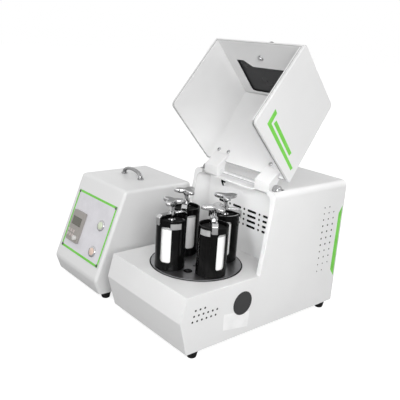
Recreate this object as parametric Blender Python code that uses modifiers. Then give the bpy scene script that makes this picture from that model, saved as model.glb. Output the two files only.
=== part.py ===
"""Micro planetary ball mill: a belt-driven four-jar mill under a hinged lid, and its control box.

Metres, +Z up. X runs along the front, Y runs back, and the origin is the middle of the outline on the table.
The mill and the box are each modelled in a frame of their own, whose zero is the underside of the sheet metal.
"""
import math

import bmesh
import bpy
from mathutils import Matrix, Vector

# General sizes
GAP = 0.0003
OVERRUN = 0.004
WELD = 0.00001
FOOT_HEIGHT = 0.018
ROUND = 20
FINE = 48
COARSE = 12
TINY = 6

# Mill housing: the side outline and the sheet
HOUSING_WIDTH = 0.300
HOUSING_DEPTH = 0.515
HOUSING_HEIGHT = 0.3425
SHEET = 0.002
NOSE_OVERHANG = 0.022
NOSE_HEIGHT = 0.082
DECK_SETBACK = -0.007
DECK_HEIGHT = 0.141
RIM_FOOT = 0.215
RIM_LEAN = math.radians(8.5)
ROOF_EDGE_RADIUS = 0.016

# Milling chamber behind the rim
CHAMBER_SIDE_ROOM = 0.013
CHAMBER_HALF_WIDTH = HOUSING_WIDTH / 2 - CHAMBER_SIDE_ROOM
ROOF_ROOM = 0.011
CHAMBER_TOP = HOUSING_HEIGHT - ROOF_ROOM
HINGE_SETBACK = 0.0234
HINGE_Y = RIM_FOOT + (HOUSING_HEIGHT - DECK_HEIGHT) * math.tan(RIM_LEAN) + HINGE_SETBACK
CHAMBER_BEHIND_HINGE = 0.0215
CHAMBER_BACK = HINGE_Y + CHAMBER_BEHIND_HINGE
CHAMBER_CORNER = 0.015
LINER_SHEET = 0.0015

# Disk and jar places
DISK_X = 0.003
DISK_Y = 0.138
DISK_RADIUS = 0.112
DISK_THICKNESS = 0.012
DISK_PROUD = 0.002
DISK_RUNNING_GAP = 0.0015
JAR_ORBIT = 0.073
JAR_COUNT = 4
FIRST_JAR_ANGLE = math.radians(-12)
WINDOW_ANGLES = [math.radians(angle) for angle in (-2, 84, -10, -58)]
DISK_CAP_RADIUS = 0.009
DISK_CAP_HEIGHT = 0.0015
DISK_CAP_ORBIT = 0.065
DISK_CAP_ANGLE = math.radians(-57)

# Jar carrier, jar and clamp
CARRIER_RADIUS = 0.0365
CARRIER_WALL = 0.004
CARRIER_FLOOR = 0.006
CLAMP_HEADROOM = 0.068
CARRIER_HEIGHT = CHAMBER_TOP - DECK_HEIGHT - CLAMP_HEADROOM
WINDOWS = 3
WINDOW_WIDTH = 0.027
WINDOW_LOW = 0.019
WINDOW_RIM = 0.0145
WINDOW_HIGH = CARRIER_HEIGHT - WINDOW_RIM
WINDOW_CORNER = 0.007
JAR_CLEARANCE = 0.001
JAR_WALL = 0.0045
JAR_FLOOR = 0.006
JAR_SINK = 0.008
JAR_TOP = CARRIER_HEIGHT - JAR_SINK
JAR_LID_HEIGHT = 0.0145
JAR_LID_SEAM = JAR_TOP - JAR_LID_HEIGHT
JAR_SPIGOT = 0.004
BAR_WIDTH = 0.014
BAR_HEIGHT = 0.012
BAR_TURN = math.radians(145)
BOSS_RADIUS = 0.009
BOSS_HEIGHT = 0.005
HOOK_THICKNESS = 0.004
HOOK_DROP = 0.0125
HOOK_TOE = 0.003
HOOK_TOE_HEIGHT = 0.004
SCREW_RADIUS = 0.005
SCREW_FOOT_RADIUS = 0.009
SCREW_FOOT_HEIGHT = 0.003
KNOB_LOBES = 3
KNOB_LOBE_SHARE = 1.4
KNOB_TIP = 0.0325
KNOB_WAIST = 0.0125
KNOB_THICKNESS = 0.011
KNOB_RISE = 0.0345
KNOB_NECK = 0.006
KNOB_NECK_RADIUS = 0.0065
KNOB_LIFT = CARRIER_HEIGHT + KNOB_RISE
KNOB_ROUNDING = 0.003

# Drive below the deck
PLATE_TOP = 0.1077
PLATE_THICKNESS = 0.010
PLATE_SIDE_ROOM = 0.016
PLATE_HALF_WIDTH = HOUSING_WIDTH / 2 - PLATE_SIDE_ROOM
PLATE_FRONT = 0.012
PLATE_BACK = 0.470
PILLAR_RADIUS = 0.008
PILLAR_INSET = 0.012
PAN_THICKNESS = 0.003
PAN_FLANGE = 0.012
GEAR_LOW = 0.110
GEAR_HIGH = 0.122
PLANET_TEETH = 16
RING_TEETH = 48
TOOTH_ADDENDUM_SHARE = 0.7
TOOTH_DEDENDUM_SHARE = 1.0
PRESSURE_ANGLE = math.radians(20)
BACKLASH = 0.0011
RING_OUTER = 0.119
AXLE_RADIUS = 0.007
AXLE_CLEARANCE = 0.0005
SHAFT_RADIUS = 0.010
SHAFT_BOTTOM = 0.028
SHAFT_FLANGE_RADIUS = 0.028
SHAFT_FLANGE_HEIGHT = 0.008
BEARING_RADIUS = 0.017
BEARING_WIDTH = 0.012
HOUSING_WALL = 0.007
BEARING_FLANGE_RADIUS = 0.031
BEARING_FLANGE_HEIGHT = 0.005
BEARING_HOUSING_LOW = 0.058
PULLEY_LOW = 0.034
PULLEY_HEIGHT = 0.016
DRIVEN_RADIUS = 0.060
MOTOR_PULLEY_RADIUS = 0.025
BELT_WIDTH = 0.009
BELT_THICKNESS = 0.006
BELT_SLACK = 0.0009
MOTOR_Y = 0.395
MOTOR_RADIUS = 0.052
MOTOR_HEIGHT = 0.165
MOTOR_FLANGE = 0.008
MOTOR_FLANGE_HALF = 0.058
MOTOR_SHAFT_RADIUS = 0.007
MOTOR_CAP_HEIGHT = 0.022

# Lid: the side outline when it is shut, and the hinge
HINGE_DROP = 0.0005
HINGE_Z = HOUSING_HEIGHT - HINGE_DROP
OPEN_ANGLE = math.radians(129.5)
LID_GAP = 0.0025
LID_FOOT_Z = 0.1425
LID_FRONT_Y = -0.006
LID_BEND_Y = 0.024
LID_TOP_FALL = 0.017
LID_TOP_Z = HOUSING_HEIGHT - HINGE_DROP
LID_BEND_Z = LID_TOP_Z - LID_TOP_FALL
LID_SHEET = 0.002
LID_FLANGE = 0.005
LID_SEAM = 0.001
LID_WALL = 0.013
LID_FRONT_WALL = 0.010
LID_FOOT_RADIUS = 0.006
LID_HEEL_RADIUS = 0.012
LID_BACK_RADIUS = 0.002
LID_BEND_RADIUS = 0.014
LID_EDGE_RADIUS = 0.002
HINGE_SHAFT_RADIUS = 0.0075
EAR_SIDE_ROOM = 0.004
EAR_OUTER = CHAMBER_HALF_WIDTH - EAR_SIDE_ROOM
EAR_WIDTH = 0.0115
EAR_INNER = EAR_OUTER - EAR_WIDTH
ARM_SIDE_ROOM = 0.0035
ARM_OUTER = EAR_INNER - ARM_SIDE_ROOM
ARM_WIDTH = 0.049
ARM_INNER = ARM_OUTER - ARM_WIDTH
ARM_REACH = 0.0245
ARM_TONGUE = 0.046
ARM_TONGUE_THICKNESS = 0.0055
ARM_BLOCK = 0.021
ARM_HUB_SHARES = ((-0.04, -0.98), (0.71, -0.35), (0.60, 0.18), (0.34, 0.48), (0.0, 0.58), (-0.28, 0.48),
                  (-0.62, 0.0))
EAR_RADIUS = 0.0115
CHANNEL_LIP = 0.001
CHANNEL_BACK = CHAMBER_BACK - CHANNEL_LIP
PANE_THICKNESS = 0.003
PANE_MARGIN = 0.006
PANE_SIDE_ROOM = 0.046
PANE_HALF_WIDTH = HOUSING_WIDTH / 2 - PANE_SIDE_ROOM
PANE_LOW_SHARE = 0.3325
PANE_TOP_SHARE = 0.9135
PANE_STEP_SHARE = 0.1011
PANE_EAR_SHARE = 0.75
PANE_MID_SHARE = 0.51
PANE_CORNER = 0.008
LID_KNOB_X = -0.009
LID_KNOB_HEIGHT = 0.048
LID_KNOB_REACH = 0.044
LID_KNOB_HEAD = 0.010
LID_KNOB_NECK = 0.0055
LID_KNOB_FLANGE = 0.012
LID_KNOB_BORE = 0.004
LID_KNOB_NUT = 0.009
LID_KNOB_NUT_HEIGHT = 0.008

# Vents, plug and rear of the mill
VENT_RADIUS = 0.0022
FRONT_VENT_TOP_Z = 0.105
FRONT_VENT_Y = 0.0195
VENT_PITCH = 0.0136
FRONT_VENT_ROW = 0.0133
FRONT_VENT_LEAN = 0.0038
FRONT_VENT_COUNTS = (3, 6, 6)
REAR_VENT_Y = (0.4355, 0.455, 0.475)
REAR_VENT_LOW = 0.1025
REAR_VENT_PITCH = 0.0192
REAR_VENT_COUNTS = (11, 11, 9)
REAR_VENT_SKIP = (0, 0, 1)
VENT_CLOSING_SHARE = 0.008
WALL_SLOT = 0.030
WALL_SLOT_HEIGHT = 0.0055
WALL_SLOT_X = (-0.0775, -0.0225, 0.0325, 0.0875)
WALL_DOT_X = (-0.050, 0.005, 0.060)
WALL_ROWS = 4
WALL_ROW_DROP = 0.074
WALL_ROW_TOP = CHAMBER_TOP - WALL_ROW_DROP
WALL_ROW_PITCH = 0.0137
PLUG_Y = 0.1645
PLUG_Z = 0.084
PLUG_RADIUS = 0.030
PLUG_PROUD = 0.0012
PLUG_BARREL = 0.027
CATCH_X = -0.078
CATCH_DROP = 0.0215
CATCH_Z = CHAMBER_TOP - CATCH_DROP
CATCH_WIDTH = 0.012
CATCH_HEIGHT = 0.014
CATCH_DEPTH = 0.008
REAR_INSET = 0.0005
REAR_SLOTS = 6
REAR_SLOT_WIDTH = 0.090
REAR_SLOT_HEIGHT = 0.005
REAR_SLOT_PITCH = 0.014
REAR_SLOT_SHARE = 0.6
REAR_SLOT_Z = HOUSING_HEIGHT * REAR_SLOT_SHARE
SOCKET_PROUD = 0.003
SOCKET_RADIUS = 0.014
SOCKET_BORE = 0.009
SOCKET_DEPTH = 0.012
SOCKET_X = 0.085
SOCKET_Z = 0.050

# Feet
FOOT_RADIUS = 0.014
FOOT_TOE_RADIUS = 0.011
FOOT_INSET_X = 0.014
FOOT_INSET_FRONT = 0.028
FOOT_INSET_BACK = 0.033
FOOT_ROUNDING = 0.003

# Control box
BOX_RIGHT = -0.2117
BOX_FRONT = -0.0092
BOX_WIDTH = 0.232
BOX_DEPTH = 0.2908
BOX_HEIGHT = 0.2775
BOX_NOSE = 0.0146
BOX_NOSE_HEIGHT = 0.040
BOX_BROW = 0.0749
BOX_SHEET = 0.0015
BOX_EDGE_RADIUS = 0.009
FASCIA_WIDTH = 0.203
FASCIA_HEIGHT = 0.172
FASCIA_RIGHT = 0.008
FASCIA_LOW = 0.036
FASCIA_THICKNESS = 0.002
FASCIA_LIP = 0.008
KEYPAD_RIGHT = 0.131
KEYPAD_WIDTH = 0.059
KEYPAD_LOW = 0.063
KEYPAD_HEIGHT = 0.088
KEYPAD_THICKNESS = 0.008
KEYPAD_CORNER = 0.004
DISPLAY_LOW = 0.046
DISPLAY_HEIGHT = 0.024
DISPLAY_MARGIN = 0.006
DISPLAY_DEPTH = 0.002
KEY_COLUMNS = 3
KEY_ROWS = 2
KEY_SIZE = 0.009
KEY_PITCH = 0.0125
KEY_LIFT = 0.0012
MEMBRANE = 0.001
MEMBRANE_LOW = 0.008
MEMBRANE_HEIGHT = 0.030
MEMBRANE_WIDTH = 0.037
MEMBRANE_MARGIN = 0.003
DIAL_X = 0.1405
DIAL_Y = 0.0772
DIAL_RADIUS = 0.0068
DIAL_HEIGHT = 0.008
DIAL_STALK = 0.0025
DIAL_STALK_DEPTH = 0.004
BUTTON_X = 0.053
START_Y = 0.142
STOP_Y = 0.068
BEZEL_RADIUS = 0.0155
BEZEL_HEIGHT = 0.003
BEZEL_BARREL = 0.0122
BEZEL_DEPTH = 0.014
BUTTON_RADIUS = 0.0102
BUTTON_PROUD = 0.0025
BUTTON_DEPTH = 0.006
BOX_HANDLE_X = 0.128
BOX_HANDLE_Y = 0.179
BOX_HANDLE_SPAN = 0.084
BOX_HANDLE_HEIGHT = 0.026
BOX_HANDLE_RADIUS = 0.005
BOX_HANDLE_FOOT_RADIUS = 0.009
BOX_HANDLE_FOOT = 0.003
BOX_HANDLE_BOW_SHARE = 0.75
INLET_SHARE = 0.3
CONNECTOR_SHARE = 0.7
INLET_WIDTH = 0.030
INLET_HEIGHT = 0.022
INLET_WALL = 0.004
INLET_Z = 0.045
INVERTER_WIDTH = 0.110
INVERTER_DEPTH = 0.120
INVERTER_HEIGHT = 0.150
INVERTER_FINS = 8
INVERTER_FIN_DEPTH = 0.018
INVERTER_FIN_SHARE = 0.4

# The outline on the table, whose middle is the origin
LEFT_EXTREME = BOX_RIGHT - BOX_WIDTH
RIGHT_EXTREME = HOUSING_WIDTH / 2 + PLUG_PROUD
FRONT_EXTREME = -NOSE_OVERHANG
BACK_EXTREME = HOUSING_DEPTH + SOCKET_PROUD - REAR_INSET

parts = None
cutters = None


def start_scene():
    """Empty the scene and make the two collections."""
    global parts, cutters
    for old in list(bpy.data.objects):
        bpy.data.objects.remove(old)
    parts = bpy.data.collections.new("planetary_ball_mill")
    cutters = bpy.data.collections.new("cutters")
    for group in (parts, cutters):
        bpy.context.scene.collection.children.link(group)


def material(name, colour, roughness, metallic=0.0):
    """A plain Principled material in a colour."""
    made = bpy.data.materials.new(name)
    made.use_nodes = True
    shader = made.node_tree.nodes["Principled BSDF"]
    shader.inputs["Base Color"].default_value = (*colour, 1.0)
    shader.inputs["Roughness"].default_value = roughness
    shader.inputs["Metallic"].default_value = metallic
    made.diffuse_color = (*colour, 1.0)
    return made


FINISHES = {
    "white_paint": ((0.80, 0.80, 0.79), 0.35, 0.0),
    "white_liner": ((0.74, 0.74, 0.74), 0.40, 0.0),
    "steel": ((0.45, 0.45, 0.46), 0.35, 1.0),
    "dark_steel": ((0.10, 0.10, 0.11), 0.35, 1.0),
    "chrome": ((0.75, 0.75, 0.76), 0.10, 1.0),
    "black_gloss": ((0.012, 0.012, 0.013), 0.12, 0.0),
    "jar_white": ((0.82, 0.82, 0.80), 0.30, 0.0),
    "jar_grey": ((0.42, 0.42, 0.42), 0.35, 0.0),
    "black_rubber": ((0.015, 0.015, 0.015), 0.75, 0.0),
    "grey_plastic": ((0.07, 0.07, 0.07), 0.45, 0.0),
    "smoked_pane": ((0.02, 0.02, 0.02), 0.08, 0.0),
    "keypad_grey": ((0.35, 0.33, 0.31), 0.40, 0.0),
    "key_white": ((0.78, 0.76, 0.74), 0.40, 0.0),
    "green_light": ((0.15, 0.55, 0.20), 0.30, 0.0),
    "red_light": ((0.60, 0.10, 0.08), 0.30, 0.0),
}


# Meshes

def finish_mesh(build, flat=False):
    """Weld a bmesh, point its faces outward and return it as a mesh; flat melts its coplanar triangles."""
    bmesh.ops.remove_doubles(build, verts=build.verts, dist=WELD)
    if flat:
        bmesh.ops.dissolve_limit(build, angle_limit=math.radians(0.2), verts=build.verts, edges=build.edges)
    bmesh.ops.recalc_face_normals(build, faces=build.faces)
    mesh = bpy.data.meshes.new("mesh")
    build.to_mesh(mesh)
    build.free()
    return mesh


def evaluated(holder, flat=False):
    """The closed mesh of an object with its modifiers, which is then removed."""
    bpy.context.scene.collection.objects.link(holder)
    depsgraph = bpy.context.evaluated_depsgraph_get()
    mesh = bpy.data.meshes.new_from_object(holder.evaluated_get(depsgraph))
    mesh.transform(holder.matrix_world)
    bpy.data.objects.remove(holder)
    build = bmesh.new()
    build.from_mesh(mesh)
    return finish_mesh(build, flat)


def box(low, high):
    """A box between two opposite corners."""
    low = Vector(low)
    high = Vector(high)
    build = bmesh.new()
    bmesh.ops.create_cube(build, size=1.0)
    bmesh.ops.scale(build, vec=high - low, verts=build.verts)
    bmesh.ops.translate(build, vec=(low + high) / 2, verts=build.verts)
    return finish_mesh(build)


def cylinder(radius, start, end, segments=ROUND, end_radius=None):
    """A cylinder or cone frustum from one point to another."""
    start = Vector(start)
    end = Vector(end)
    turn = (end - start).to_track_quat("Z", "Y").to_matrix().to_4x4()
    build = bmesh.new()
    bmesh.ops.create_cone(build, cap_ends=True, segments=segments, radius1=radius,
                          radius2=radius if end_radius is None else end_radius, depth=(end - start).length,
                          matrix=Matrix.Translation((start + end) / 2) @ turn)
    return finish_mesh(build)


AXES = {
    "X": Matrix(((0, 0, 1), (1, 0, 0), (0, 1, 0))).to_4x4(),
    "Y": Matrix(((1, 0, 0), (0, 0, -1), (0, 1, 0))).to_4x4(),
    "Z": Matrix.Identity(4),
}


def prism(outline, axis, low, high, holes=()):
    """A flat outline with holes, extruded along an axis between two places."""
    curve = bpy.data.curves.new("outline", "CURVE")
    curve.dimensions = "2D"
    curve.fill_mode = "BOTH"
    curve.extrude = (high - low) / 2
    for ring in (outline, *holes):
        spline = curve.splines.new("POLY")
        spline.points.add(len(ring) - 1)
        for point, place in zip(spline.points, ring):
            point.co = (*place, 0.0, 1.0)
        spline.use_cyclic_u = True
    mesh = evaluated(bpy.data.objects.new("outline", curve), flat=True)
    bpy.data.curves.remove(curve)
    mesh.transform(AXES[axis])
    middle = {"X": (1, 0, 0), "Y": (0, 1, 0), "Z": (0, 0, 1)}[axis]
    mesh.transform(Matrix.Translation(Vector(middle) * (low + high) / 2))
    return mesh


def turned(profile, segments=ROUND):
    """A profile of (radius, height), down its outer side, turned about Z."""
    mesh = bpy.data.meshes.new("profile")
    mesh.from_pydata([(radius, 0.0, height) for radius, height in profile],
                     [(step, step + 1) for step in range(len(profile) - 1)], [])
    holder = bpy.data.objects.new("profile", mesh)
    screw = holder.modifiers.new("turn", "SCREW")
    screw.steps = segments
    screw.render_steps = segments
    screw.use_merge_vertices = True
    screw.merge_threshold = WELD
    return evaluated(holder)


def annulus(outer, inner, low, high, segments=ROUND):
    """A ring of square section turned about Z."""
    return turned([(inner, high), (outer, high), (outer, low), (inner, low), (inner, high)], segments)


def tube(points, radius, resolution=2):
    """A round rod along a row of points."""
    curve = bpy.data.curves.new("rod", "CURVE")
    curve.dimensions = "3D"
    curve.bevel_depth = radius
    curve.bevel_resolution = resolution
    curve.use_fill_caps = True
    spline = curve.splines.new("POLY")
    spline.points.add(len(points) - 1)
    for point, place in zip(spline.points, points):
        point.co = (*place, 1.0)
    mesh = evaluated(bpy.data.objects.new("rod", curve))
    bpy.data.curves.remove(curve)
    return mesh


def bundle(*meshes):
    """Several separate solids in one mesh."""
    build = bmesh.new()
    for mesh in meshes:
        build.from_mesh(mesh)
    result = bpy.data.meshes.new("bundle")
    build.to_mesh(result)
    build.free()
    return result


def moved(mesh, matrix):
    """A copy of a mesh carried by a matrix."""
    copy = mesh.copy()
    copy.transform(matrix)
    return copy


def turned_about_z(mesh, angle):
    """A copy of a mesh turned about Z."""
    return moved(mesh, Matrix.Rotation(angle, 4, "Z"))


def round_edges(mesh, choose, radius, segments=2):
    """Round the edges that a test picks by their two ends."""
    build = bmesh.new()
    build.from_mesh(mesh)
    edges = [edge for edge in build.edges if choose(edge.verts[0].co, edge.verts[1].co)]
    bmesh.ops.bevel(build, geom=edges, offset=radius, offset_type="OFFSET", segments=segments, profile=0.5,
                    affect="EDGES", clamp_overlap=True)
    return finish_mesh(build)


# Outlines

def offset_outline(points, insets):
    """Move each side of an anticlockwise outline inward by its own inset and meet the sides again."""
    lines = []
    for index, point in enumerate(points):
        start = Vector(point)
        along = (Vector(points[(index + 1) % len(points)]) - start).normalized()
        inward = Vector((-along.y, along.x))
        lines.append((start + inward * insets[index], along))
    corners = []
    for index, (place, along) in enumerate(lines):
        before, direction = lines[index - 1]
        gap = place - before
        across = direction.x * along.y - direction.y * along.x
        reach = (gap.x * along.y - gap.y * along.x) / across
        corners.append(tuple(before + direction * reach))
    return corners


def rounded(points, radii, segments=4):
    """Replace each corner of an outline by an arc of its radius."""
    outline = []
    for index, point in enumerate(points):
        corner = Vector(point)
        radius = radii[index]
        if radius <= 0:
            outline.append(tuple(corner))
            continue
        back = (Vector(points[index - 1]) - corner).normalized()
        ahead = (Vector(points[(index + 1) % len(points)]) - corner).normalized()
        half = back.angle(ahead) / 2
        centre = corner + (back + ahead).normalized() * radius / math.sin(half)
        first = corner + back * radius / math.tan(half) - centre
        last = corner + ahead * radius / math.tan(half) - centre
        sweep = first.angle_signed(last)
        for step in range(segments + 1):
            outline.append(tuple(centre + Matrix.Rotation(-sweep * step / segments, 2) @ first))
    return outline


def rectangle(left, low, right, high):
    """An anticlockwise rectangle."""
    return [(left, low), (right, low), (right, high), (left, high)]


def gear_outline(teeth, pitch_radius, inward=False):
    """A gear's outline with straight-flanked teeth, whose first tooth points along +X."""
    module = 2 * pitch_radius / teeth
    addendum = module * TOOTH_ADDENDUM_SHARE
    dedendum = module * TOOTH_DEDENDUM_SHARE
    pitch_half = (math.pi * module / 2 - BACKLASH) / 2
    tip_half = pitch_half - addendum * math.tan(PRESSURE_ANGLE)
    root_half = pitch_half + dedendum * math.tan(PRESSURE_ANGLE)
    tip = pitch_radius - addendum if inward else pitch_radius + addendum
    root = pitch_radius + dedendum if inward else pitch_radius - dedendum
    outline = []
    for tooth in range(teeth):
        centre = 2 * math.pi * tooth / teeth
        for radius, half in ((root, -root_half), (tip, -tip_half), (tip, tip_half), (root, root_half)):
            angle = centre + half / radius
            outline.append((radius * math.cos(angle), radius * math.sin(angle)))
    return outline


def circle(radius, centre=(0.0, 0.0), segments=ROUND):
    """A round outline."""
    return [(centre[0] + radius * math.cos(2 * math.pi * step / segments),
             centre[1] + radius * math.sin(2 * math.pi * step / segments)) for step in range(segments)]


# Objects

def frame(name, parent, location=(0, 0, 0), rotation=(0, 0, 0)):
    """An empty that carries pieces."""
    empty = bpy.data.objects.new(name, None)
    empty.empty_display_size = FOOT_HEIGHT
    parts.objects.link(empty)
    empty.parent = parent
    empty.location = location
    empty.rotation_euler = rotation
    return empty


def piece(name, mesh, finish, carrier, smooth=False):
    """One named sub-part with its own material, in the frame of its carrier."""
    made = bpy.data.objects.new(name, mesh)
    mesh.name = name
    mesh.materials.clear()
    mesh.materials.append(material(name, *FINISHES[finish]))
    if smooth:
        mesh.shade_smooth()
        mesh.set_sharp_from_angle(angle=math.radians(35))
    parts.objects.link(made)
    made.parent = carrier
    return made


def combine(target, mesh, operation, label):
    """Cut a piece with a mesh, or join the mesh to it."""
    tool = bpy.data.objects.new(f"{target.name}_{label}", mesh)
    cutters.objects.link(tool)
    tool.parent = target.parent
    tool.hide_render = True
    tool.display_type = "WIRE"
    change = target.modifiers.new(label, "BOOLEAN")
    change.operation = operation
    change.solver = "EXACT"
    change.object = tool


def cut(target, mesh, label):
    """Cut a piece with a mesh."""
    combine(target, mesh, "DIFFERENCE", label)


def join(target, mesh, label):
    """Join a mesh to a piece."""
    combine(target, mesh, "UNION", label)


# Mill housing

def rim_y(height):
    """The rim's outer face at a height."""
    return RIM_FOOT + (height - DECK_HEIGHT) * math.tan(RIM_LEAN)


def chamber_outline(margin, bottom):
    """The chamber's mouth with its round upper corners, grown by a margin."""
    half = CHAMBER_HALF_WIDTH + margin
    radius = CHAMBER_CORNER + margin
    return rounded(rectangle(-half, bottom, half, CHAMBER_TOP + margin), [0, 0, radius, radius])


def arm_notches(margin, front, back, low, high):
    """The two spaces in which the hinge arms swing."""
    return bundle(*[box((min(side * (ARM_INNER - margin), side * (ARM_OUTER + margin)), front, low),
                        (max(side * (ARM_INNER - margin), side * (ARM_OUTER + margin)), back, high))
                    for side in (-1, 1)])


def side_vents():
    """Round vent holes through the right wall: rows at the front and columns at the rear."""
    reach = HOUSING_WIDTH / 2
    places = []
    for row, count in enumerate(FRONT_VENT_COUNTS):
        start = FRONT_VENT_Y - row * FRONT_VENT_LEAN
        for column in range(count):
            places.append((start + column * VENT_PITCH, FRONT_VENT_TOP_Z - row * FRONT_VENT_ROW))
    for column, y in enumerate(REAR_VENT_Y):
        for row in range(REAR_VENT_SKIP[column], REAR_VENT_SKIP[column] + REAR_VENT_COUNTS[column]):
            places.append((y, REAR_VENT_LOW + row * REAR_VENT_PITCH * (1 - row * VENT_CLOSING_SHARE)))
    return bundle(*[cylinder(VENT_RADIUS, (reach - SHEET - OVERRUN, y, z), (reach + OVERRUN, y, z), TINY)
                    for y, z in places])


def housing_shell(mill):
    """The folded and welded sheet housing: sides, nose, deck, rim and roof."""
    half = HOUSING_WIDTH / 2
    top_front = rim_y(HOUSING_HEIGHT)
    outline = [(0, 0), (HOUSING_DEPTH, 0), (HOUSING_DEPTH, HOUSING_HEIGHT), (top_front, HOUSING_HEIGHT),
               (RIM_FOOT, DECK_HEIGHT), (DECK_SETBACK, DECK_HEIGHT), (-NOSE_OVERHANG, NOSE_HEIGHT)]
    block = prism(outline, "X", -half, half)
    block = round_edges(block, lambda a, b: abs(a.x - b.x) < WELD and min(a.z, b.z) > HOUSING_HEIGHT - WELD
                        and abs(a.y - b.y) > WELD, ROOF_EDGE_RADIUS, 4)
    shell = piece("housing_shell", block, "white_paint", mill, smooth=True)
    inner = half - SHEET
    slope = SHEET / math.cos(RIM_LEAN)
    lower = offset_outline([(0, 0), (HOUSING_DEPTH, 0), (HOUSING_DEPTH, DECK_HEIGHT),
                            (DECK_SETBACK, DECK_HEIGHT), (-NOSE_OVERHANG, NOSE_HEIGHT)],
                           [-OVERRUN, -OVERRUN, SHEET, SHEET, SHEET])
    cut(shell, prism(lower, "X", -inner, inner), "drive_space")
    deck_end = CHAMBER_BACK + LINER_SHEET + GAP
    ceiling = HOUSING_HEIGHT - SHEET
    upper = [(rim_y(DECK_HEIGHT) + slope, DECK_HEIGHT), (deck_end, DECK_HEIGHT), (deck_end, NOSE_HEIGHT),
             (HOUSING_DEPTH + OVERRUN, NOSE_HEIGHT), (HOUSING_DEPTH + OVERRUN, ceiling),
             (rim_y(ceiling) + slope, ceiling)]
    space = prism(upper, "X", -inner, inner)
    space = round_edges(space, lambda a, b: abs(a.x - b.x) < WELD and min(a.z, b.z) > ceiling - WELD
                        and abs(a.y - b.y) > WELD, ROOF_EDGE_RADIUS - SHEET, 4)
    cut(shell, space, "rear_space")
    cut(shell, prism(chamber_outline(0, DECK_HEIGHT), "Y", RIM_FOOT - OVERRUN, CHAMBER_BACK), "mouth")
    cut(shell, cylinder(DISK_RADIUS + DISK_RUNNING_GAP, (DISK_X, DISK_Y, DECK_HEIGHT - SHEET - OVERRUN),
                        (DISK_X, DISK_Y, DECK_HEIGHT + OVERRUN), FINE), "disk_hole")
    channel_front = rim_y(HOUSING_HEIGHT) + slope + GAP
    cut(shell, box((-CHAMBER_HALF_WIDTH, channel_front, CHAMBER_TOP + LINER_SHEET),
                   (CHAMBER_HALF_WIDTH, CHANNEL_BACK, HOUSING_HEIGHT + OVERRUN)), "hinge_channel")
    cut(shell, box((-ARM_OUTER - LID_SEAM, RIM_FOOT, CHAMBER_TOP - OVERRUN),
                   (ARM_OUTER + LID_SEAM, CHANNEL_BACK, HOUSING_HEIGHT + OVERRUN)), "arm_gap")
    cut(shell, side_vents(), "vents")
    cut(shell, cylinder(PLUG_BARREL + 2 * GAP, (half - SHEET - OVERRUN, PLUG_Y, PLUG_Z),
                        (half + OVERRUN, PLUG_Y, PLUG_Z)), "plug_hole")


def chamber_liner(mill):
    """The chamber's side walls, ceiling and vented back wall, with the hinge ears and the lid switch's catch."""
    back = CHAMBER_BACK + LINER_SHEET
    foot = DECK_HEIGHT + GAP
    liner = piece("chamber_liner", prism(chamber_outline(LINER_SHEET, foot), "Y", RIM_FOOT, back),
                  "white_liner", mill, smooth=True)
    cut(liner, prism(chamber_outline(0, foot - OVERRUN), "Y", RIM_FOOT - OVERRUN, CHAMBER_BACK), "chamber")
    seat = (SHEET + GAP) / math.cos(RIM_LEAN)
    top = CHAMBER_TOP + LINER_SHEET + OVERRUN
    bottom = foot - OVERRUN
    wedge = [(RIM_FOOT - OVERRUN, bottom), (rim_y(bottom) + seat, bottom), (rim_y(top) + seat, top),
             (RIM_FOOT - OVERRUN, top)]
    cut(liner, prism(wedge, "X", -HOUSING_WIDTH / 2, HOUSING_WIDTH / 2), "rim_seat")
    join(liner, box((-CHAMBER_HALF_WIDTH + CHAMBER_CORNER, CHAMBER_BACK, CHAMBER_TOP - LINER_SHEET),
                    (CHAMBER_HALF_WIDTH - CHAMBER_CORNER, back, HOUSING_HEIGHT - SHEET - GAP)), "upstand")
    floor = CHAMBER_TOP + LINER_SHEET
    slope = SHEET / math.cos(RIM_LEAN)
    lip = [(rim_y(CHAMBER_TOP), CHAMBER_TOP), (rim_y(CHAMBER_TOP) + 3 * slope, CHAMBER_TOP),
           (rim_y(CHAMBER_TOP) + 3 * slope, floor), (rim_y(floor) + slope, floor),
           (rim_y(HOUSING_HEIGHT) + slope, HOUSING_HEIGHT), (rim_y(HOUSING_HEIGHT), HOUSING_HEIGHT)]
    join(liner, prism(lip, "X", LID_SEAM - ARM_INNER, ARM_INNER - LID_SEAM), "front_lip")
    cut(liner, arm_notches(LID_SEAM, RIM_FOOT, CHANNEL_BACK, CHAMBER_TOP - LINER_SHEET, floor + OVERRUN),
        "arm_notches")
    holes = []
    for row in range(WALL_ROWS):
        z = WALL_ROW_TOP - row * WALL_ROW_PITCH
        for x in WALL_SLOT_X:
            end = WALL_SLOT_HEIGHT / 2
            outline = rounded(rectangle(x - WALL_SLOT / 2, z - end, x + WALL_SLOT / 2, z + end), [end] * 4, 1)
            holes.append(prism(outline, "Y", CHAMBER_BACK - OVERRUN, back + OVERRUN))
        for x in WALL_DOT_X:
            holes.append(cylinder(WALL_SLOT_HEIGHT / 2, (x, CHAMBER_BACK - OVERRUN, z), (x, back + OVERRUN, z),
                                  TINY))
    cut(liner, bundle(*holes), "wall_vents")
    join(liner, interlock_catch(), "interlock_catch")
    join(liner, hinge_ears(), "hinge_ears")
    cut(liner, cylinder(HINGE_SHAFT_RADIUS + GAP, (-EAR_OUTER - OVERRUN, HINGE_Y, HINGE_Z),
                        (EAR_OUTER + OVERRUN, HINGE_Y, HINGE_Z)), "shaft_bore")


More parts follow.
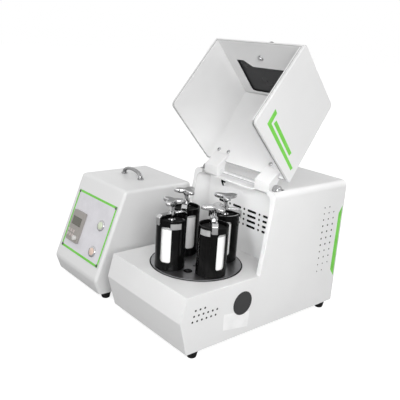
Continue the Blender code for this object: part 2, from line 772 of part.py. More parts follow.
def connector(x, back, sheet):
    """A round connector through a back panel, and the hole in it for the plug."""
    behind = Matrix.Translation((x, back, SOCKET_Z)) @ Matrix.Rotation(-math.pi / 2, 4, "X")
    barrel = SOCKET_BORE + SHEET
    body = turned([(0, SOCKET_PROUD), (SOCKET_RADIUS, SOCKET_PROUD), (SOCKET_RADIUS, -sheet / 2),
                   (barrel, -sheet / 2), (barrel, -SOCKET_DEPTH), (0, -SOCKET_DEPTH)], COARSE)
    hole = cylinder(SOCKET_BORE, (0, 0, SHEET - SOCKET_DEPTH), (0, 0, SOCKET_PROUD + OVERRUN), COARSE)
    return moved(body, behind), moved(hole, behind)


def base_pan(mill):
    """The floor tray that closes the housing and carries the drive, on its four rubber feet."""
    edge = HOUSING_WIDTH / 2 - SHEET - GAP
    front = SHEET + GAP
    back = HOUSING_DEPTH - REAR_INSET - SHEET - GAP
    tray = piece("base_pan", box((-edge, front, 0), (edge, back, PAN_FLANGE)), "white_liner", mill)
    cut(tray, box((-edge + SHEET, front + SHEET, PAN_THICKNESS),
                  (edge - SHEET, back - SHEET, PAN_FLANGE + OVERRUN)), "tray")
    join(tray, rubber_feet(HOUSING_WIDTH, HOUSING_DEPTH, 0), "feet")


def rear_panel(mill):
    """The flat back panel with its air slots and the motor's connector."""
    edge = HOUSING_WIDTH / 2 - SHEET - GAP
    back = HOUSING_DEPTH - REAR_INSET
    corner = ROOF_EDGE_RADIUS - SHEET - GAP
    outline = rounded(rectangle(-edge, GAP, edge, HOUSING_HEIGHT - SHEET - GAP), [0, 0, corner, corner])
    panel = piece("rear_panel", prism(outline, "Y", back - SHEET, back), "white_paint", mill)
    holes = []
    for slot in range(REAR_SLOTS):
        z = REAR_SLOT_Z + slot * REAR_SLOT_PITCH
        holes.append(box((-REAR_SLOT_WIDTH / 2, back - SHEET - OVERRUN, z),
                         (REAR_SLOT_WIDTH / 2, back + OVERRUN, z + REAR_SLOT_HEIGHT)))
    body, hole = connector(SOCKET_X, back, SHEET)
    join(panel, body, "connector")
    cut(panel, bundle(*holes, hole), "openings")


def side_plug(mill):
    """The round cap in the right wall over the belt."""
    face = HOUSING_WIDTH / 2
    profile = [(0, face + PLUG_PROUD), (PLUG_RADIUS - PLUG_PROUD, face + PLUG_PROUD), (PLUG_RADIUS, face + GAP),
               (PLUG_BARREL, face + GAP), (PLUG_BARREL, face - SHEET - PLUG_PROUD), (0, face - SHEET - PLUG_PROUD)]
    plug = moved(turned(profile), Matrix.Translation((0, PLUG_Y, PLUG_Z)) @ Matrix.Rotation(math.pi / 2, 4, "Y"))
    piece("side_plug", plug, "grey_plastic", mill, smooth=True)


def rubber_feet(width, depth, middle):
    """The four tapered feet under a floor tray, each sunk into the sheet it is screwed to."""
    sole = turned([(0, PAN_THICKNESS / 2), (FOOT_TOE_RADIUS, PAN_THICKNESS / 2), (FOOT_TOE_RADIUS, -GAP),
                   (FOOT_RADIUS, -GAP), (FOOT_RADIUS, -FOOT_ROUNDING),
                   (FOOT_TOE_RADIUS, FOOT_ROUNDING / 2 - FOOT_HEIGHT),
                   (FOOT_TOE_RADIUS - FOOT_ROUNDING / 2, -FOOT_HEIGHT), (0, -FOOT_HEIGHT)], COARSE)
    half = width / 2 - FOOT_INSET_X
    return bundle(*[moved(sole, Matrix.Translation((middle + side * half, y, 0)))
                    for side in (-1, 1) for y in (FOOT_INSET_FRONT, depth - FOOT_INSET_BACK)])


def interlock_catch():
    """The lid switch's small catch on the chamber's back wall."""
    front = CHAMBER_BACK - CATCH_DEPTH
    body = box((CATCH_X - CATCH_WIDTH / 2, front, CATCH_Z - CATCH_HEIGHT / 2),
               (CATCH_X + CATCH_WIDTH / 2, CHAMBER_BACK + LINER_SHEET / 2, CATCH_Z + CATCH_HEIGHT / 2))
    return round_edges(body, lambda a, b: max(a.y, b.y) < front + WELD, CATCH_DEPTH / 3)


def hinge_ears():
    """The two ears that hold the hinge shaft, standing on the chamber's ceiling in the roof channel."""
    seat = CHAMBER_TOP + LINER_SHEET / 2
    outline = [(HINGE_Y - EAR_RADIUS, seat), (HINGE_Y + EAR_RADIUS, seat)]
    outline += [(HINGE_Y + EAR_RADIUS * math.cos(math.pi * step / COARSE),
                 HINGE_Z + EAR_RADIUS * math.sin(math.pi * step / COARSE)) for step in range(COARSE + 1)]
    spans = [sorted((side * EAR_INNER, side * EAR_OUTER)) for side in (-1, 1)]
    return bundle(*[prism(outline, "X", low, high) for low, high in spans])


# Drive

def drive_axis(height=0.0):
    """A point on the disk's axis."""
    return Vector((DISK_X, DISK_Y, height))


def mechanism_plate(mill):
    """The thick plate under the deck that carries the ring gear, the bearing housing and the motor."""
    low = PLATE_TOP - PLATE_THICKNESS
    slab = rounded(rectangle(-PLATE_HALF_WIDTH, PLATE_FRONT, PLATE_HALF_WIDTH, PLATE_BACK),
                   [PILLAR_INSET] * 4, 2)
    holes = (circle(BEARING_RADIUS + HOUSING_WALL + GAP, (DISK_X, DISK_Y)),
             circle(MOTOR_SHAFT_RADIUS + OVERRUN, (DISK_X, MOTOR_Y), COARSE))
    plate = piece("mechanism_plate", prism(slab, "Z", low, PLATE_TOP, holes), "steel", mill)
    middle = (PLATE_FRONT + PLATE_BACK) / 2
    pillars = [cylinder(PILLAR_RADIUS, (side * (PLATE_HALF_WIDTH - PILLAR_INSET), y, PAN_THICKNESS + GAP),
                        (side * (PLATE_HALF_WIDTH - PILLAR_INSET), y, low + PLATE_THICKNESS / 2), COARSE)
               for side in (-1, 1) for y in (PLATE_FRONT + PILLAR_INSET, middle, PLATE_BACK - PILLAR_INSET)]
    join(plate, bundle(*pillars), "pillars")


def ring_gear(mill):
    """The fixed internal gear round the planets."""
    pitch = JAR_ORBIT * RING_TEETH / (RING_TEETH - PLANET_TEETH)
    teeth = gear_outline(RING_TEETH, pitch, inward=True)
    ring = prism(circle(RING_OUTER, segments=FINE), "Z", PLATE_TOP + GAP, GEAR_HIGH, (teeth,))
    half_tooth = math.pi / RING_TEETH
    ring = moved(ring, Matrix.Translation(drive_axis()) @ Matrix.Rotation(FIRST_JAR_ANGLE + half_tooth, 4, "Z"))
    piece("ring_gear", ring, "steel", mill)


def bearing_housing(mill):
    """The turned housing through the plate, and its two bearings on the main shaft."""
    body = BEARING_RADIUS + HOUSING_WALL
    top = PLATE_TOP + GAP + BEARING_FLANGE_HEIGHT
    bore = BEARING_RADIUS + GAP
    throat = (BEARING_RADIUS + SHAFT_RADIUS) / 2
    upper = top - BEARING_WIDTH - GAP
    lower = BEARING_HOUSING_LOW + BEARING_WIDTH + GAP
    profile = [(bore, top), (BEARING_FLANGE_RADIUS, top), (BEARING_FLANGE_RADIUS, PLATE_TOP + GAP),
               (body, PLATE_TOP + GAP), (body, BEARING_HOUSING_LOW), (bore, BEARING_HOUSING_LOW),
               (bore, lower), (throat, lower), (throat, upper), (bore, upper), (bore, top)]
    place = Matrix.Translation(drive_axis())
    piece("bearing_housing", moved(turned(profile, COARSE), place), "steel", mill, smooth=True)
    for name, low in (("lower_bearing", BEARING_HOUSING_LOW), ("upper_bearing", top - BEARING_WIDTH)):
        bore = (SHAFT_RADIUS + GAP) / math.cos(math.pi / COARSE)
        ring = annulus(BEARING_RADIUS, bore, low, low + BEARING_WIDTH, COARSE)
        piece(name, moved(ring, place), "chrome", mill, smooth=True)


def planet_disk(rotor):
    """The round disk level with the deck, with the planets' bores and four bolt caps."""
    top = DECK_HEIGHT + DISK_PROUD
    low = top - DISK_THICKNESS
    disk = piece("planet_disk", cylinder(DISK_RADIUS, (0, 0, low), (0, 0, top), FINE), "dark_steel", rotor,
                 smooth=True)
    bores = []
    caps = []
    for number in range(JAR_COUNT):
        turn = 2 * math.pi * number / JAR_COUNT
        place = Matrix.Rotation(FIRST_JAR_ANGLE + turn, 3, "Z") @ Vector((JAR_ORBIT, 0, 0))
        bores.append(cylinder(AXLE_RADIUS + AXLE_CLEARANCE, place + Vector((0, 0, low - OVERRUN)),
                              place + Vector((0, 0, top + OVERRUN)), COARSE))
        seat = Matrix.Rotation(DISK_CAP_ANGLE + turn, 3, "Z") @ Vector((DISK_CAP_ORBIT, 0, 0))
        caps.append(cylinder(DISK_CAP_RADIUS, seat + Vector((0, 0, low + DISK_THICKNESS / 2)),
                             seat + Vector((0, 0, top + DISK_CAP_HEIGHT)), COARSE))
    join(disk, bundle(*caps), "caps")
    cut(disk, bundle(*bores), "bores")


def pulley(radius, bore, segments):
    """A pulley with one belt groove."""
    middle = PULLEY_LOW + PULLEY_HEIGHT / 2
    wide = BELT_WIDTH / 2 + GAP
    floor = radius - BELT_THICKNESS
    top = PULLEY_LOW + PULLEY_HEIGHT
    return turned([(bore, top), (radius, top), (radius, middle + wide), (floor, middle + wide),
                   (floor, middle - wide), (radius, middle - wide), (radius, PULLEY_LOW), (bore, PULLEY_LOW),
                   (bore, top)], segments)


def main_shaft(rotor):
    """The vertical shaft, flanged to the disk, and the large pulley at its foot."""
    top = DECK_HEIGHT + DISK_PROUD - DISK_THICKNESS - GAP
    under = top - SHAFT_FLANGE_HEIGHT
    profile = [(0, top), (SHAFT_FLANGE_RADIUS, top), (SHAFT_FLANGE_RADIUS, under), (SHAFT_RADIUS, under),
               (SHAFT_RADIUS, SHAFT_BOTTOM), (0, SHAFT_BOTTOM)]
    piece("main_shaft", turned(profile, COARSE), "steel", rotor, smooth=True)
    piece("driven_pulley", pulley(DRIVEN_RADIUS, SHAFT_RADIUS + GAP, ROUND), "steel", rotor, smooth=True)


def belt(mill):
    """The belt round the two pulleys."""
    middle = PULLEY_LOW + PULLEY_HEIGHT / 2
    distance = MOTOR_Y - DISK_Y
    lean = math.asin((DRIVEN_RADIUS - MOTOR_PULLEY_RADIUS) / distance)
    rings = []
    for outward in (0.0, -BELT_THICKNESS + BELT_SLACK):
        loop = []
        for centre, radius, first, last in ((MOTOR_Y, MOTOR_PULLEY_RADIUS, lean, math.pi - lean),
                                            (DISK_Y, DRIVEN_RADIUS, math.pi - lean, 2 * math.pi + lean)):
            for step in range(COARSE + 1):
                angle = first + (last - first) * step / COARSE
                size = radius + outward
                loop.append((DISK_X + size * math.cos(angle), centre + size * math.sin(angle)))
        rings.append(loop)
    band = prism(rings[0], "Z", middle - BELT_WIDTH / 2, middle + BELT_WIDTH / 2, (rings[1],))
    piece("drive_belt", band, "black_rubber", mill)


def motor(mill, spindle):
    """The upright motor behind the chamber, with its shaft and small pulley below the plate."""
    low = PLATE_TOP + GAP
    base = box((DISK_X - MOTOR_FLANGE_HALF, MOTOR_Y - MOTOR_FLANGE_HALF, low),
               (DISK_X + MOTOR_FLANGE_HALF, MOTOR_Y + MOTOR_FLANGE_HALF, low + MOTOR_FLANGE))
    body = piece("motor_body", base, "grey_plastic", mill, smooth=True)
    top = low + MOTOR_HEIGHT
    case = turned([(0, top + MOTOR_CAP_HEIGHT), (MOTOR_RADIUS - MOTOR_FLANGE, top + MOTOR_CAP_HEIGHT),
                   (MOTOR_RADIUS, top), (MOTOR_RADIUS, low + MOTOR_FLANGE / 2), (0, low + MOTOR_FLANGE / 2)])
    join(body, moved(case, Matrix.Translation((DISK_X, MOTOR_Y, 0))), "case")
    cut(body, cylinder(MOTOR_SHAFT_RADIUS + GAP, (DISK_X, MOTOR_Y, low - OVERRUN),
                       (DISK_X, MOTOR_Y, low + MOTOR_HEIGHT / 2), COARSE), "bore")
    piece("motor_shaft", cylinder(MOTOR_SHAFT_RADIUS, (0, 0, SHAFT_BOTTOM), (0, 0, low + MOTOR_HEIGHT / 2 - GAP),
                                  COARSE), "steel", spindle, smooth=True)
    piece("motor_pulley", pulley(MOTOR_PULLEY_RADIUS, MOTOR_SHAFT_RADIUS + GAP, COARSE), "steel", spindle,
          smooth=True)


# Jar stations

def planet_gear(number, station, phase):
    """A planet gear under the disk, one solid with the axle that carries the jar holder."""
    pitch = JAR_ORBIT * PLANET_TEETH / (RING_TEETH - PLANET_TEETH)
    wheel = prism(gear_outline(PLANET_TEETH, pitch), "Z", GEAR_LOW, GEAR_HIGH)
    gear = piece(f"planet_gear_{number}", turned_about_z(wheel, phase), "steel", station)
    floor = DECK_HEIGHT + DISK_PROUD + GAP + CARRIER_FLOOR
    join(gear, cylinder(AXLE_RADIUS, (0, 0, GEAR_LOW + PAN_THICKNESS), (0, 0, floor - GAP), COARSE), "axle")


def carrier(number, station):
    """The black jar holder: a cup with three tall windows and two slots for the clamp's hooks."""
    low = DECK_HEIGHT + DISK_PROUD + GAP
    floor = low + CARRIER_FLOOR
    top = low + CARRIER_HEIGHT
    bore = CARRIER_RADIUS - CARRIER_WALL
    hub = AXLE_RADIUS + GAP
    profile = [(bore, top), (CARRIER_RADIUS, top), (CARRIER_RADIUS, low), (hub, low), (hub, floor),
               (bore, floor), (bore, top)]
    cup = piece(f"jar_carrier_{number}", turned(profile), "black_gloss", station, smooth=True)
    half = WINDOW_WIDTH / 2
    reach = CARRIER_RADIUS + OVERRUN
    outline = rounded(rectangle(-half, low + WINDOW_LOW, half, low + WINDOW_HIGH), [WINDOW_CORNER] * 4, 2)
    window = prism(outline, "Y", -reach, -bore / 2)
    turned_window = [turned_about_z(window, math.pi / 2 + 2 * math.pi * index / WINDOWS)
                     for index in range(WINDOWS)]
    cut(cup, bundle(*turned_window), "windows")
    slot_low = top - HOOK_DROP - LID_SEAM
    slots = [turned_about_z(box((bore / 2, -BAR_WIDTH / 2 - LID_SEAM, slot_low),
                                (reach, BAR_WIDTH / 2 + LID_SEAM, slot_low + HOOK_TOE_HEIGHT + 2 * LID_SEAM)),
                            BAR_TURN + side * math.pi) for side in (0, 1)]
    cut(cup, bundle(*slots), "hook_slots")


def jar(number, station):
    """The milling jar and its lid, standing on the holder's floor."""
    low = DECK_HEIGHT + DISK_PROUD + GAP
    foot = low + CARRIER_FLOOR + GAP
    outer = CARRIER_RADIUS - CARRIER_WALL - JAR_CLEARANCE
    bore = outer - JAR_WALL
    seam = low + JAR_LID_SEAM
    body = turned([(0, foot + JAR_FLOOR), (bore, foot + JAR_FLOOR), (bore, seam), (outer, seam), (outer, foot),
                   (0, foot)], ROUND)
    top = low + JAR_TOP
    spigot = bore - GAP
    cover = turned([(0, top), (outer, top), (outer, seam + GAP), (spigot, seam + GAP),
                    (spigot, seam - JAR_SPIGOT), (0, seam - JAR_SPIGOT)], ROUND)
    piece(f"milling_jar_{number}", body, "jar_white", station, smooth=True)
    piece(f"jar_lid_{number}", cover, "jar_grey", station, smooth=True)


def clamp(number, station, screw):
    """The clamp bar hooked into the holder, and its hand screw with a three-lobed knob."""
    low = DECK_HEIGHT + DISK_PROUD + GAP
    rim = low + CARRIER_HEIGHT
    half = BAR_WIDTH / 2
    inner = CARRIER_RADIUS + GAP
    outer = inner + HOOK_THICKNESS
    toe = CARRIER_RADIUS - HOOK_TOE
    foot = rim - HOOK_DROP
    outline = [(-outer, foot), (-toe, foot), (-toe, foot + HOOK_TOE_HEIGHT), (-inner, foot + HOOK_TOE_HEIGHT),
               (-inner, rim + GAP), (inner, rim + GAP), (inner, foot + HOOK_TOE_HEIGHT),
               (toe, foot + HOOK_TOE_HEIGHT), (toe, foot), (outer, foot), (outer, rim + BAR_HEIGHT / 2),
               (inner - HOOK_THICKNESS, rim + BAR_HEIGHT + GAP), (HOOK_THICKNESS - inner, rim + BAR_HEIGHT + GAP),
               (-outer, rim + BAR_HEIGHT / 2)]
    bar = piece(f"clamp_bar_{number}", turned_about_z(prism(outline, "Y", -half, half), BAR_TURN), "chrome",
                station)
    boss_top = rim + BAR_HEIGHT + BOSS_HEIGHT
    join(bar, cylinder(BOSS_RADIUS, (0, 0, rim + BAR_HEIGHT / 2), (0, 0, boss_top), COARSE), "boss")
    cut(bar, cylinder(SCREW_RADIUS + GAP, (0, 0, rim - OVERRUN), (0, 0, boss_top + OVERRUN), COARSE), "thread")
    steps = KNOB_LOBES * 6
    outline = []
    for step in range(steps):
        angle = 2 * math.pi * step / steps
        lobe = (1 + math.cos(KNOB_LOBES * angle)) / 2
        radius = KNOB_WAIST + (KNOB_TIP - KNOB_WAIST) * lobe ** KNOB_LOBE_SHARE
        outline.append((radius * math.cos(angle), radius * math.sin(angle)))
    knob_low = low + KNOB_LIFT
    star = prism(outline, "Z", knob_low, knob_low + KNOB_THICKNESS)
    star = round_edges(star, lambda a, b: abs(a.z - b.z) < WELD, KNOB_ROUNDING, 1)
    knob = piece(f"clamp_knob_{number}", star, "chrome", screw, smooth=True)
    under = low + JAR_TOP + GAP
    neck_top = KNOB_WAIST - KNOB_ROUNDING
    stem = turned([(0, knob_low + KNOB_THICKNESS / 2), (neck_top, knob_low + KNOB_THICKNESS / 2),
                   (neck_top, knob_low), (KNOB_NECK_RADIUS, knob_low - KNOB_NECK),
                   (SCREW_RADIUS, knob_low - KNOB_NECK), (SCREW_RADIUS, under + SCREW_FOOT_HEIGHT),
                   (SCREW_FOOT_RADIUS, under + SCREW_FOOT_HEIGHT),
                   (SCREW_FOOT_RADIUS, under), (0, under)], COARSE)
    join(knob, stem, "screw")


# Lid, in the frame of the hinge axis, drawn shut

def lid_corners():
    """The lid's side outline when shut: front foot, heel, back corner and front bend, about the hinge."""
    heel_y = rim_y(LID_FOOT_Z) - LID_GAP
    back_y = rim_y(LID_TOP_Z) - LID_GAP
    corners = ((LID_FRONT_Y, LID_FOOT_Z), (heel_y, LID_FOOT_Z), (back_y, LID_TOP_Z), (LID_BEND_Y, LID_BEND_Z))
    return [(y - HINGE_Y, z - HINGE_Z) for y, z in corners]


def lid_profile(foot, back, top, front):
    """The lid's rounded outline with each of its four sides moved inward."""
    insets = [foot, back, top, front]
    radii = [LID_FOOT_RADIUS, LID_HEEL_RADIUS, LID_BACK_RADIUS, LID_BEND_RADIUS]
    radii = [max(radius - max(insets[side - 1], insets[side], 0.0), LID_EDGE_RADIUS)
             for side, radius in enumerate(radii)]
    return rounded(offset_outline(lid_corners(), insets), radii, 3)


def panel_frame(low, high):
    """A matrix whose X runs along the hinge, Y up a lid panel and Z out of it."""
    low = Vector((0.0, *low))
    up = (Vector((0.0, *high)) - low).normalized()
    right = Vector((1.0, 0.0, 0.0))
    out = right.cross(up)
    turn = Matrix((right, up, out)).transposed().to_4x4()
    return Matrix.Translation(low) @ turn


def front_panel():
    """The lid's front panel: X along the hinge, Y up from its foot, Z outward."""
    corners = lid_corners()
    return panel_frame(corners[0], corners[3])


def top_panel():
    """The lid's top panel: X along the hinge, Y back from the bend, Z upward."""
    corners = lid_corners()
    return panel_frame(corners[3], corners[2])


def panel_length(first, last):
    """The length of one side of the lid's outline."""
    corners = lid_corners()
    return (Vector(corners[last]) - Vector(corners[first])).length


def window_outline(margin):
    """The lid window on the front panel: wide at the top, with a raised middle at its foot."""
    wide = PANE_HALF_WIDTH
    length = panel_length(0, 3)
    low = length * PANE_LOW_SHARE
    step = low + length * PANE_STEP_SHARE
    ear = wide * PANE_EAR_SHARE
    mid = wide * PANE_MID_SHARE
    top = length * PANE_TOP_SHARE
    points = [(-wide, low), (-ear, low), (-mid, step), (mid, step), (ear, low), (wide, low), (wide, top),
              (-wide, top)]
    grown = offset_outline(points, [-margin] * len(points))
    corner = PANE_CORNER
    return rounded(grown, [LID_EDGE_RADIUS, LID_EDGE_RADIUS, corner, corner, LID_EDGE_RADIUS, LID_EDGE_RADIUS,
                           corner, corner], 2)


def knob_place():
    """The lid knob's place on the front panel."""
    return front_panel() @ Matrix.Translation((LID_KNOB_X, LID_KNOB_HEIGHT, 0))


def arm_openings(depth, reach):
    """The openings in the lid's top panel and back flange through which the hinge arms pass."""
    length = panel_length(3, 2)
    cuts = []
    for side in (-1, 1):
        ends = sorted((side * (ARM_INNER - LID_SEAM), side * (ARM_OUTER + LID_SEAM)))
        cuts.append(box((ends[0], length - reach, -depth), (ends[1], length + OVERRUN, -LID_SHEET - GAP / 2)))
    return moved(bundle(*cuts), top_panel())


def lid_shell(lid):
    """The lid's outer skin, with a narrow return flange round its mouth."""
    half = HOUSING_WIDTH / 2
    block = prism(lid_profile(0, 0, 0, 0), "X", -half, half)
    block = round_edges(block, lambda a, b: abs(a.x - b.x) < WELD, LID_EDGE_RADIUS, 1)
    shell = piece("lid_shell", block, "white_paint", lid, smooth=True)
    sheet = LID_SHEET
    cut(shell, prism(lid_profile(sheet, sheet, sheet, sheet), "X", sheet - half, half - sheet), "inside")
    mouth = half - LID_FLANGE
    cut(shell, prism(lid_profile(-OVERRUN, -OVERRUN, LID_FLANGE, LID_FLANGE), "X", -mouth, mouth), "mouth")
    cut(shell, arm_openings(LID_WALL, LID_FLANGE), "arm_openings")
    cut(shell, moved(prism(window_outline(0), "Z", -sheet - OVERRUN, OVERRUN), front_panel()), "window")
    cut(shell, moved(cylinder(LID_KNOB_BORE + GAP, (0, 0, -sheet - OVERRUN), (0, 0, OVERRUN), COARSE),
                     knob_place()), "knob_hole")


def lid_liner(lid):
    """The lid's inner tray, whose flange fills the mouth inside the shell's flange."""
    half = HOUSING_WIDTH / 2
    side = half - LID_WALL
    sheet = LINER_SHEET
    rim = half - LID_FLANGE - LID_SEAM
    edge = LID_FLANGE + LID_SEAM
    wall = LID_FRONT_WALL - sheet
    tray = prism(lid_profile(0, 0, wall, wall), "X", -side - sheet, side + sheet)
    liner = piece("lid_liner", tray, "white_liner", lid, smooth=True)
    outer = offset_outline(lid_corners(), [0, 0, edge, edge])
    inner = offset_outline(lid_corners(), [LID_SHEET, LID_SHEET, edge, edge])
    strip = rounded(outer[:3] + inner[2::-1],
                    [0, LID_HEEL_RADIUS, 0, 0, LID_HEEL_RADIUS - LID_SHEET, 0], 3)
    join(liner, prism(strip, "X", -rim, rim), "flange")
    cut(liner, prism(lid_profile(-OVERRUN, -OVERRUN, LID_FRONT_WALL, LID_FRONT_WALL), "X", -side, side), "inside")
    cut(liner, arm_openings(ARM_REACH, ARM_BLOCK + LID_SEAM), "arm_openings")
    behind = -LID_FRONT_WALL - OVERRUN
    cut(liner, moved(prism(window_outline(0), "Z", behind, behind + 2 * OVERRUN), front_panel()), "window")
    cut(liner, moved(cylinder(LID_KNOB_BORE + GAP, (0, 0, behind), (0, 0, behind + 2 * OVERRUN), COARSE),
                     knob_place()), "knob_hole")


def lid_window(lid):
    """The smoked pane clamped behind the front skin."""
    top = -LID_SHEET - GAP
    pane = prism(window_outline(PANE_MARGIN), "Z", top - PANE_THICKNESS, top)
    piece("lid_window", moved(pane, front_panel()), "smoked_pane", lid)


def hinge_arms(lid):
    """Two arms: a tongue bolted inside the lid's double wall, a sloping block and a hub on the hinge shaft."""
    length = panel_length(3, 2)
    under = LID_SHEET + 2 * GAP

    def on_panel(setback, depth):
        place = top_panel() @ Vector((0, length - setback, -depth))
        return place.y, place.z

    outline = [on_panel(ARM_TONGUE, under), on_panel(ARM_TONGUE, under + ARM_TONGUE_THICKNESS),
               on_panel(ARM_BLOCK, under + ARM_TONGUE_THICKNESS),
               on_panel(ARM_BLOCK, LID_FRONT_WALL + LID_SHEET)]
    outline += [(y_share * ARM_REACH, z_share * ARM_REACH) for y_share, z_share in ARM_HUB_SHARES]
    outline.append(on_panel(0, under))
    for name, side in (("left_hinge_arm", -1), ("right_hinge_arm", 1)):
        low, high = sorted((side * ARM_INNER, side * ARM_OUTER))
        arm = piece(name, prism(outline, "X", low, high), "white_paint", lid)
        cut(arm, cylinder(HINGE_SHAFT_RADIUS + GAP, (low - OVERRUN, 0, 0), (high + OVERRUN, 0, 0)), "bore")


def lid_knob(lid):
    """The lifting knob through the front panel, with its nut inside."""
    head = LID_KNOB_REACH
    taper = LID_KNOB_HEAD / 3
    inside = -LID_FRONT_WALL - GAP
    profile = [(0, head), (LID_KNOB_HEAD - taper, head), (LID_KNOB_HEAD, head - taper),
               (LID_KNOB_HEAD, head - LID_KNOB_HEAD), (LID_KNOB_NECK, head - 2 * LID_KNOB_HEAD),
               (LID_KNOB_NECK, LID_KNOB_NECK), (LID_KNOB_FLANGE, taper), (LID_KNOB_FLANGE, GAP),
               (LID_KNOB_BORE, GAP), (LID_KNOB_BORE, inside), (LID_KNOB_NUT, inside),
               (LID_KNOB_NUT, inside - LID_KNOB_NUT_HEIGHT), (0, inside - LID_KNOB_NUT_HEIGHT)]
    piece("lid_knob", moved(turned(profile, COARSE), knob_place()), "grey_plastic", lid, smooth=True)


def hinge_shaft(mill):
    """The bright shaft through the two ears, on which the lid's arms turn."""
    reach = EAR_OUTER + LID_SHEET
    piece("hinge_shaft", cylinder(HINGE_SHAFT_RADIUS, (-reach, HINGE_Y, HINGE_Z), (reach, HINGE_Y, HINGE_Z)),
          "chrome", mill, smooth=True)


# Control box, whose frame starts at its lower right front corner

def fascia_frame():
    """The slanted front: X right, Y up the slope from the nose, Z outward."""
    low = Vector((0, -BOX_NOSE, BOX_NOSE_HEIGHT))
    up = (Vector((0, BOX_BROW, BOX_HEIGHT)) - low).normalized()
    right = Vector((1, 0, 0))
    return Matrix.Translation(low) @ Matrix((right, up, right.cross(up))).transposed().to_4x4()


def fascia_place(x, y, lift=0.0):
    """A place on the fascia plate's face."""
    return fascia_frame() @ Matrix.Translation((-x, y, GAP + FASCIA_THICKNESS + lift))


def box_shell(control):
    """The control box's folded cover with a slanted front, open below and behind."""
    outline = [(0, 0), (BOX_DEPTH, 0), (BOX_DEPTH, BOX_HEIGHT), (BOX_BROW, BOX_HEIGHT),
               (-BOX_NOSE, BOX_NOSE_HEIGHT)]
    block = prism(outline, "X", -BOX_WIDTH, 0)

    def soft(a, b):
        ends_free = min(a.y, b.y) < BOX_DEPTH - WELD and max(a.z, b.z) > WELD
        return ends_free

    block = round_edges(block, soft, BOX_EDGE_RADIUS, 3)
    build = bmesh.new()
    build.from_mesh(block)
    open_faces = [face for face in build.faces
                  if all(vert.co.z < WELD for vert in face.verts)
                  or all(vert.co.y > BOX_DEPTH - WELD for vert in face.verts)]
    bmesh.ops.delete(build, geom=open_faces, context="FACES")
    build.to_mesh(block)
    build.free()
    shell = piece("box_shell", block, "white_paint", control, smooth=True)
    skin = shell.modifiers.new("skin", "SOLIDIFY")
    skin.thickness = BOX_SHEET
    skin.offset = -1
    skin.use_even_offset = True
    lip = FASCIA_LIP
    opening = prism(rectangle(lip - FASCIA_RIGHT - FASCIA_WIDTH, FASCIA_LOW + lip, -FASCIA_RIGHT - lip,
                              FASCIA_LOW + FASCIA_HEIGHT - lip), "Z", -OVERRUN, OVERRUN)
    cut(shell, moved(opening, fascia_frame()), "fascia_opening")


def box_base(control):
    """The control box's floor tray on its rubber feet, and the back panel with the mains inlet."""
    edge = BOX_SHEET + GAP
    back = BOX_DEPTH - REAR_INSET
    front_corner = BOX_EDGE_RADIUS
    outer = rounded(rectangle(edge - BOX_WIDTH, edge, -edge, back - BOX_SHEET - GAP),
                    [front_corner, front_corner, 0, 0], 2)
    tray = piece("box_base", prism(outer, "Z", 0, PAN_FLANGE), "white_liner", control)
    inner = rounded(rectangle(edge + BOX_SHEET - BOX_WIDTH, edge + BOX_SHEET, -edge - BOX_SHEET,
                              back - 2 * BOX_SHEET - GAP), [front_corner, front_corner, 0, 0], 2)
    cut(tray, prism(inner, "Z", PAN_THICKNESS, PAN_FLANGE + OVERRUN), "tray")
    join(tray, rubber_feet(BOX_WIDTH, BOX_DEPTH, -BOX_WIDTH / 2), "feet")
    corner = BOX_EDGE_RADIUS
    outline = rounded(rectangle(edge - BOX_WIDTH, GAP, -edge, BOX_HEIGHT - edge), [0, 0, corner, corner])
    panel = piece("box_rear_panel", prism(outline, "Y", back - BOX_SHEET, back), "white_paint", control)
    holes = []
    for slot in range(REAR_SLOTS):
        z = BOX_HEIGHT / 2 + slot * REAR_SLOT_PITCH
        holes.append(box((-(BOX_WIDTH + REAR_SLOT_WIDTH) / 2, back - BOX_SHEET - OVERRUN, z),
                         (-(BOX_WIDTH - REAR_SLOT_WIDTH) / 2, back + OVERRUN, z + REAR_SLOT_HEIGHT)))
    wide = INLET_WIDTH / 2
    tall = INLET_HEIGHT / 2
    x = -INLET_SHARE * BOX_WIDTH
    join(panel, box((x - wide - INLET_WALL, back - BOX_SHEET / 2, INLET_Z - tall - INLET_WALL),
                    (x + wide + INLET_WALL, back + SOCKET_PROUD, INLET_Z + tall + INLET_WALL)), "inlet_flange")
    join(panel, box((x - wide, back - SOCKET_DEPTH, INLET_Z - tall), (x + wide, back + SHEET, INLET_Z + tall)),
         "inlet_body")
    holes.append(box((x - wide + INLET_WALL, back - SOCKET_DEPTH + SHEET, INLET_Z - tall + INLET_WALL),
                     (x + wide - INLET_WALL, back + SOCKET_PROUD + OVERRUN, INLET_Z + tall - INLET_WALL)))
    body, hole = connector(-CONNECTOR_SHARE * BOX_WIDTH, back, BOX_SHEET)
    join(panel, body, "connector")
    cut(panel, bundle(*holes, hole), "openings")


def fascia(control):
    """The fascia plate on the slanted front."""
    low_x = -FASCIA_RIGHT - FASCIA_WIDTH
    slab = prism(rectangle(low_x, FASCIA_LOW, -FASCIA_RIGHT, FASCIA_LOW + FASCIA_HEIGHT), "Z", GAP,
                 GAP + FASCIA_THICKNESS)
    plate = piece("fascia_plate", moved(slab, fascia_frame()), "white_paint", control)
    cut(plate, bundle(*[moved(cylinder(BEZEL_BARREL + GAP, (0, 0, -OVERRUN), (0, 0, OVERRUN)),
                              fascia_place(BUTTON_X, y)) for y in (START_Y, STOP_Y)]), "button_holes")


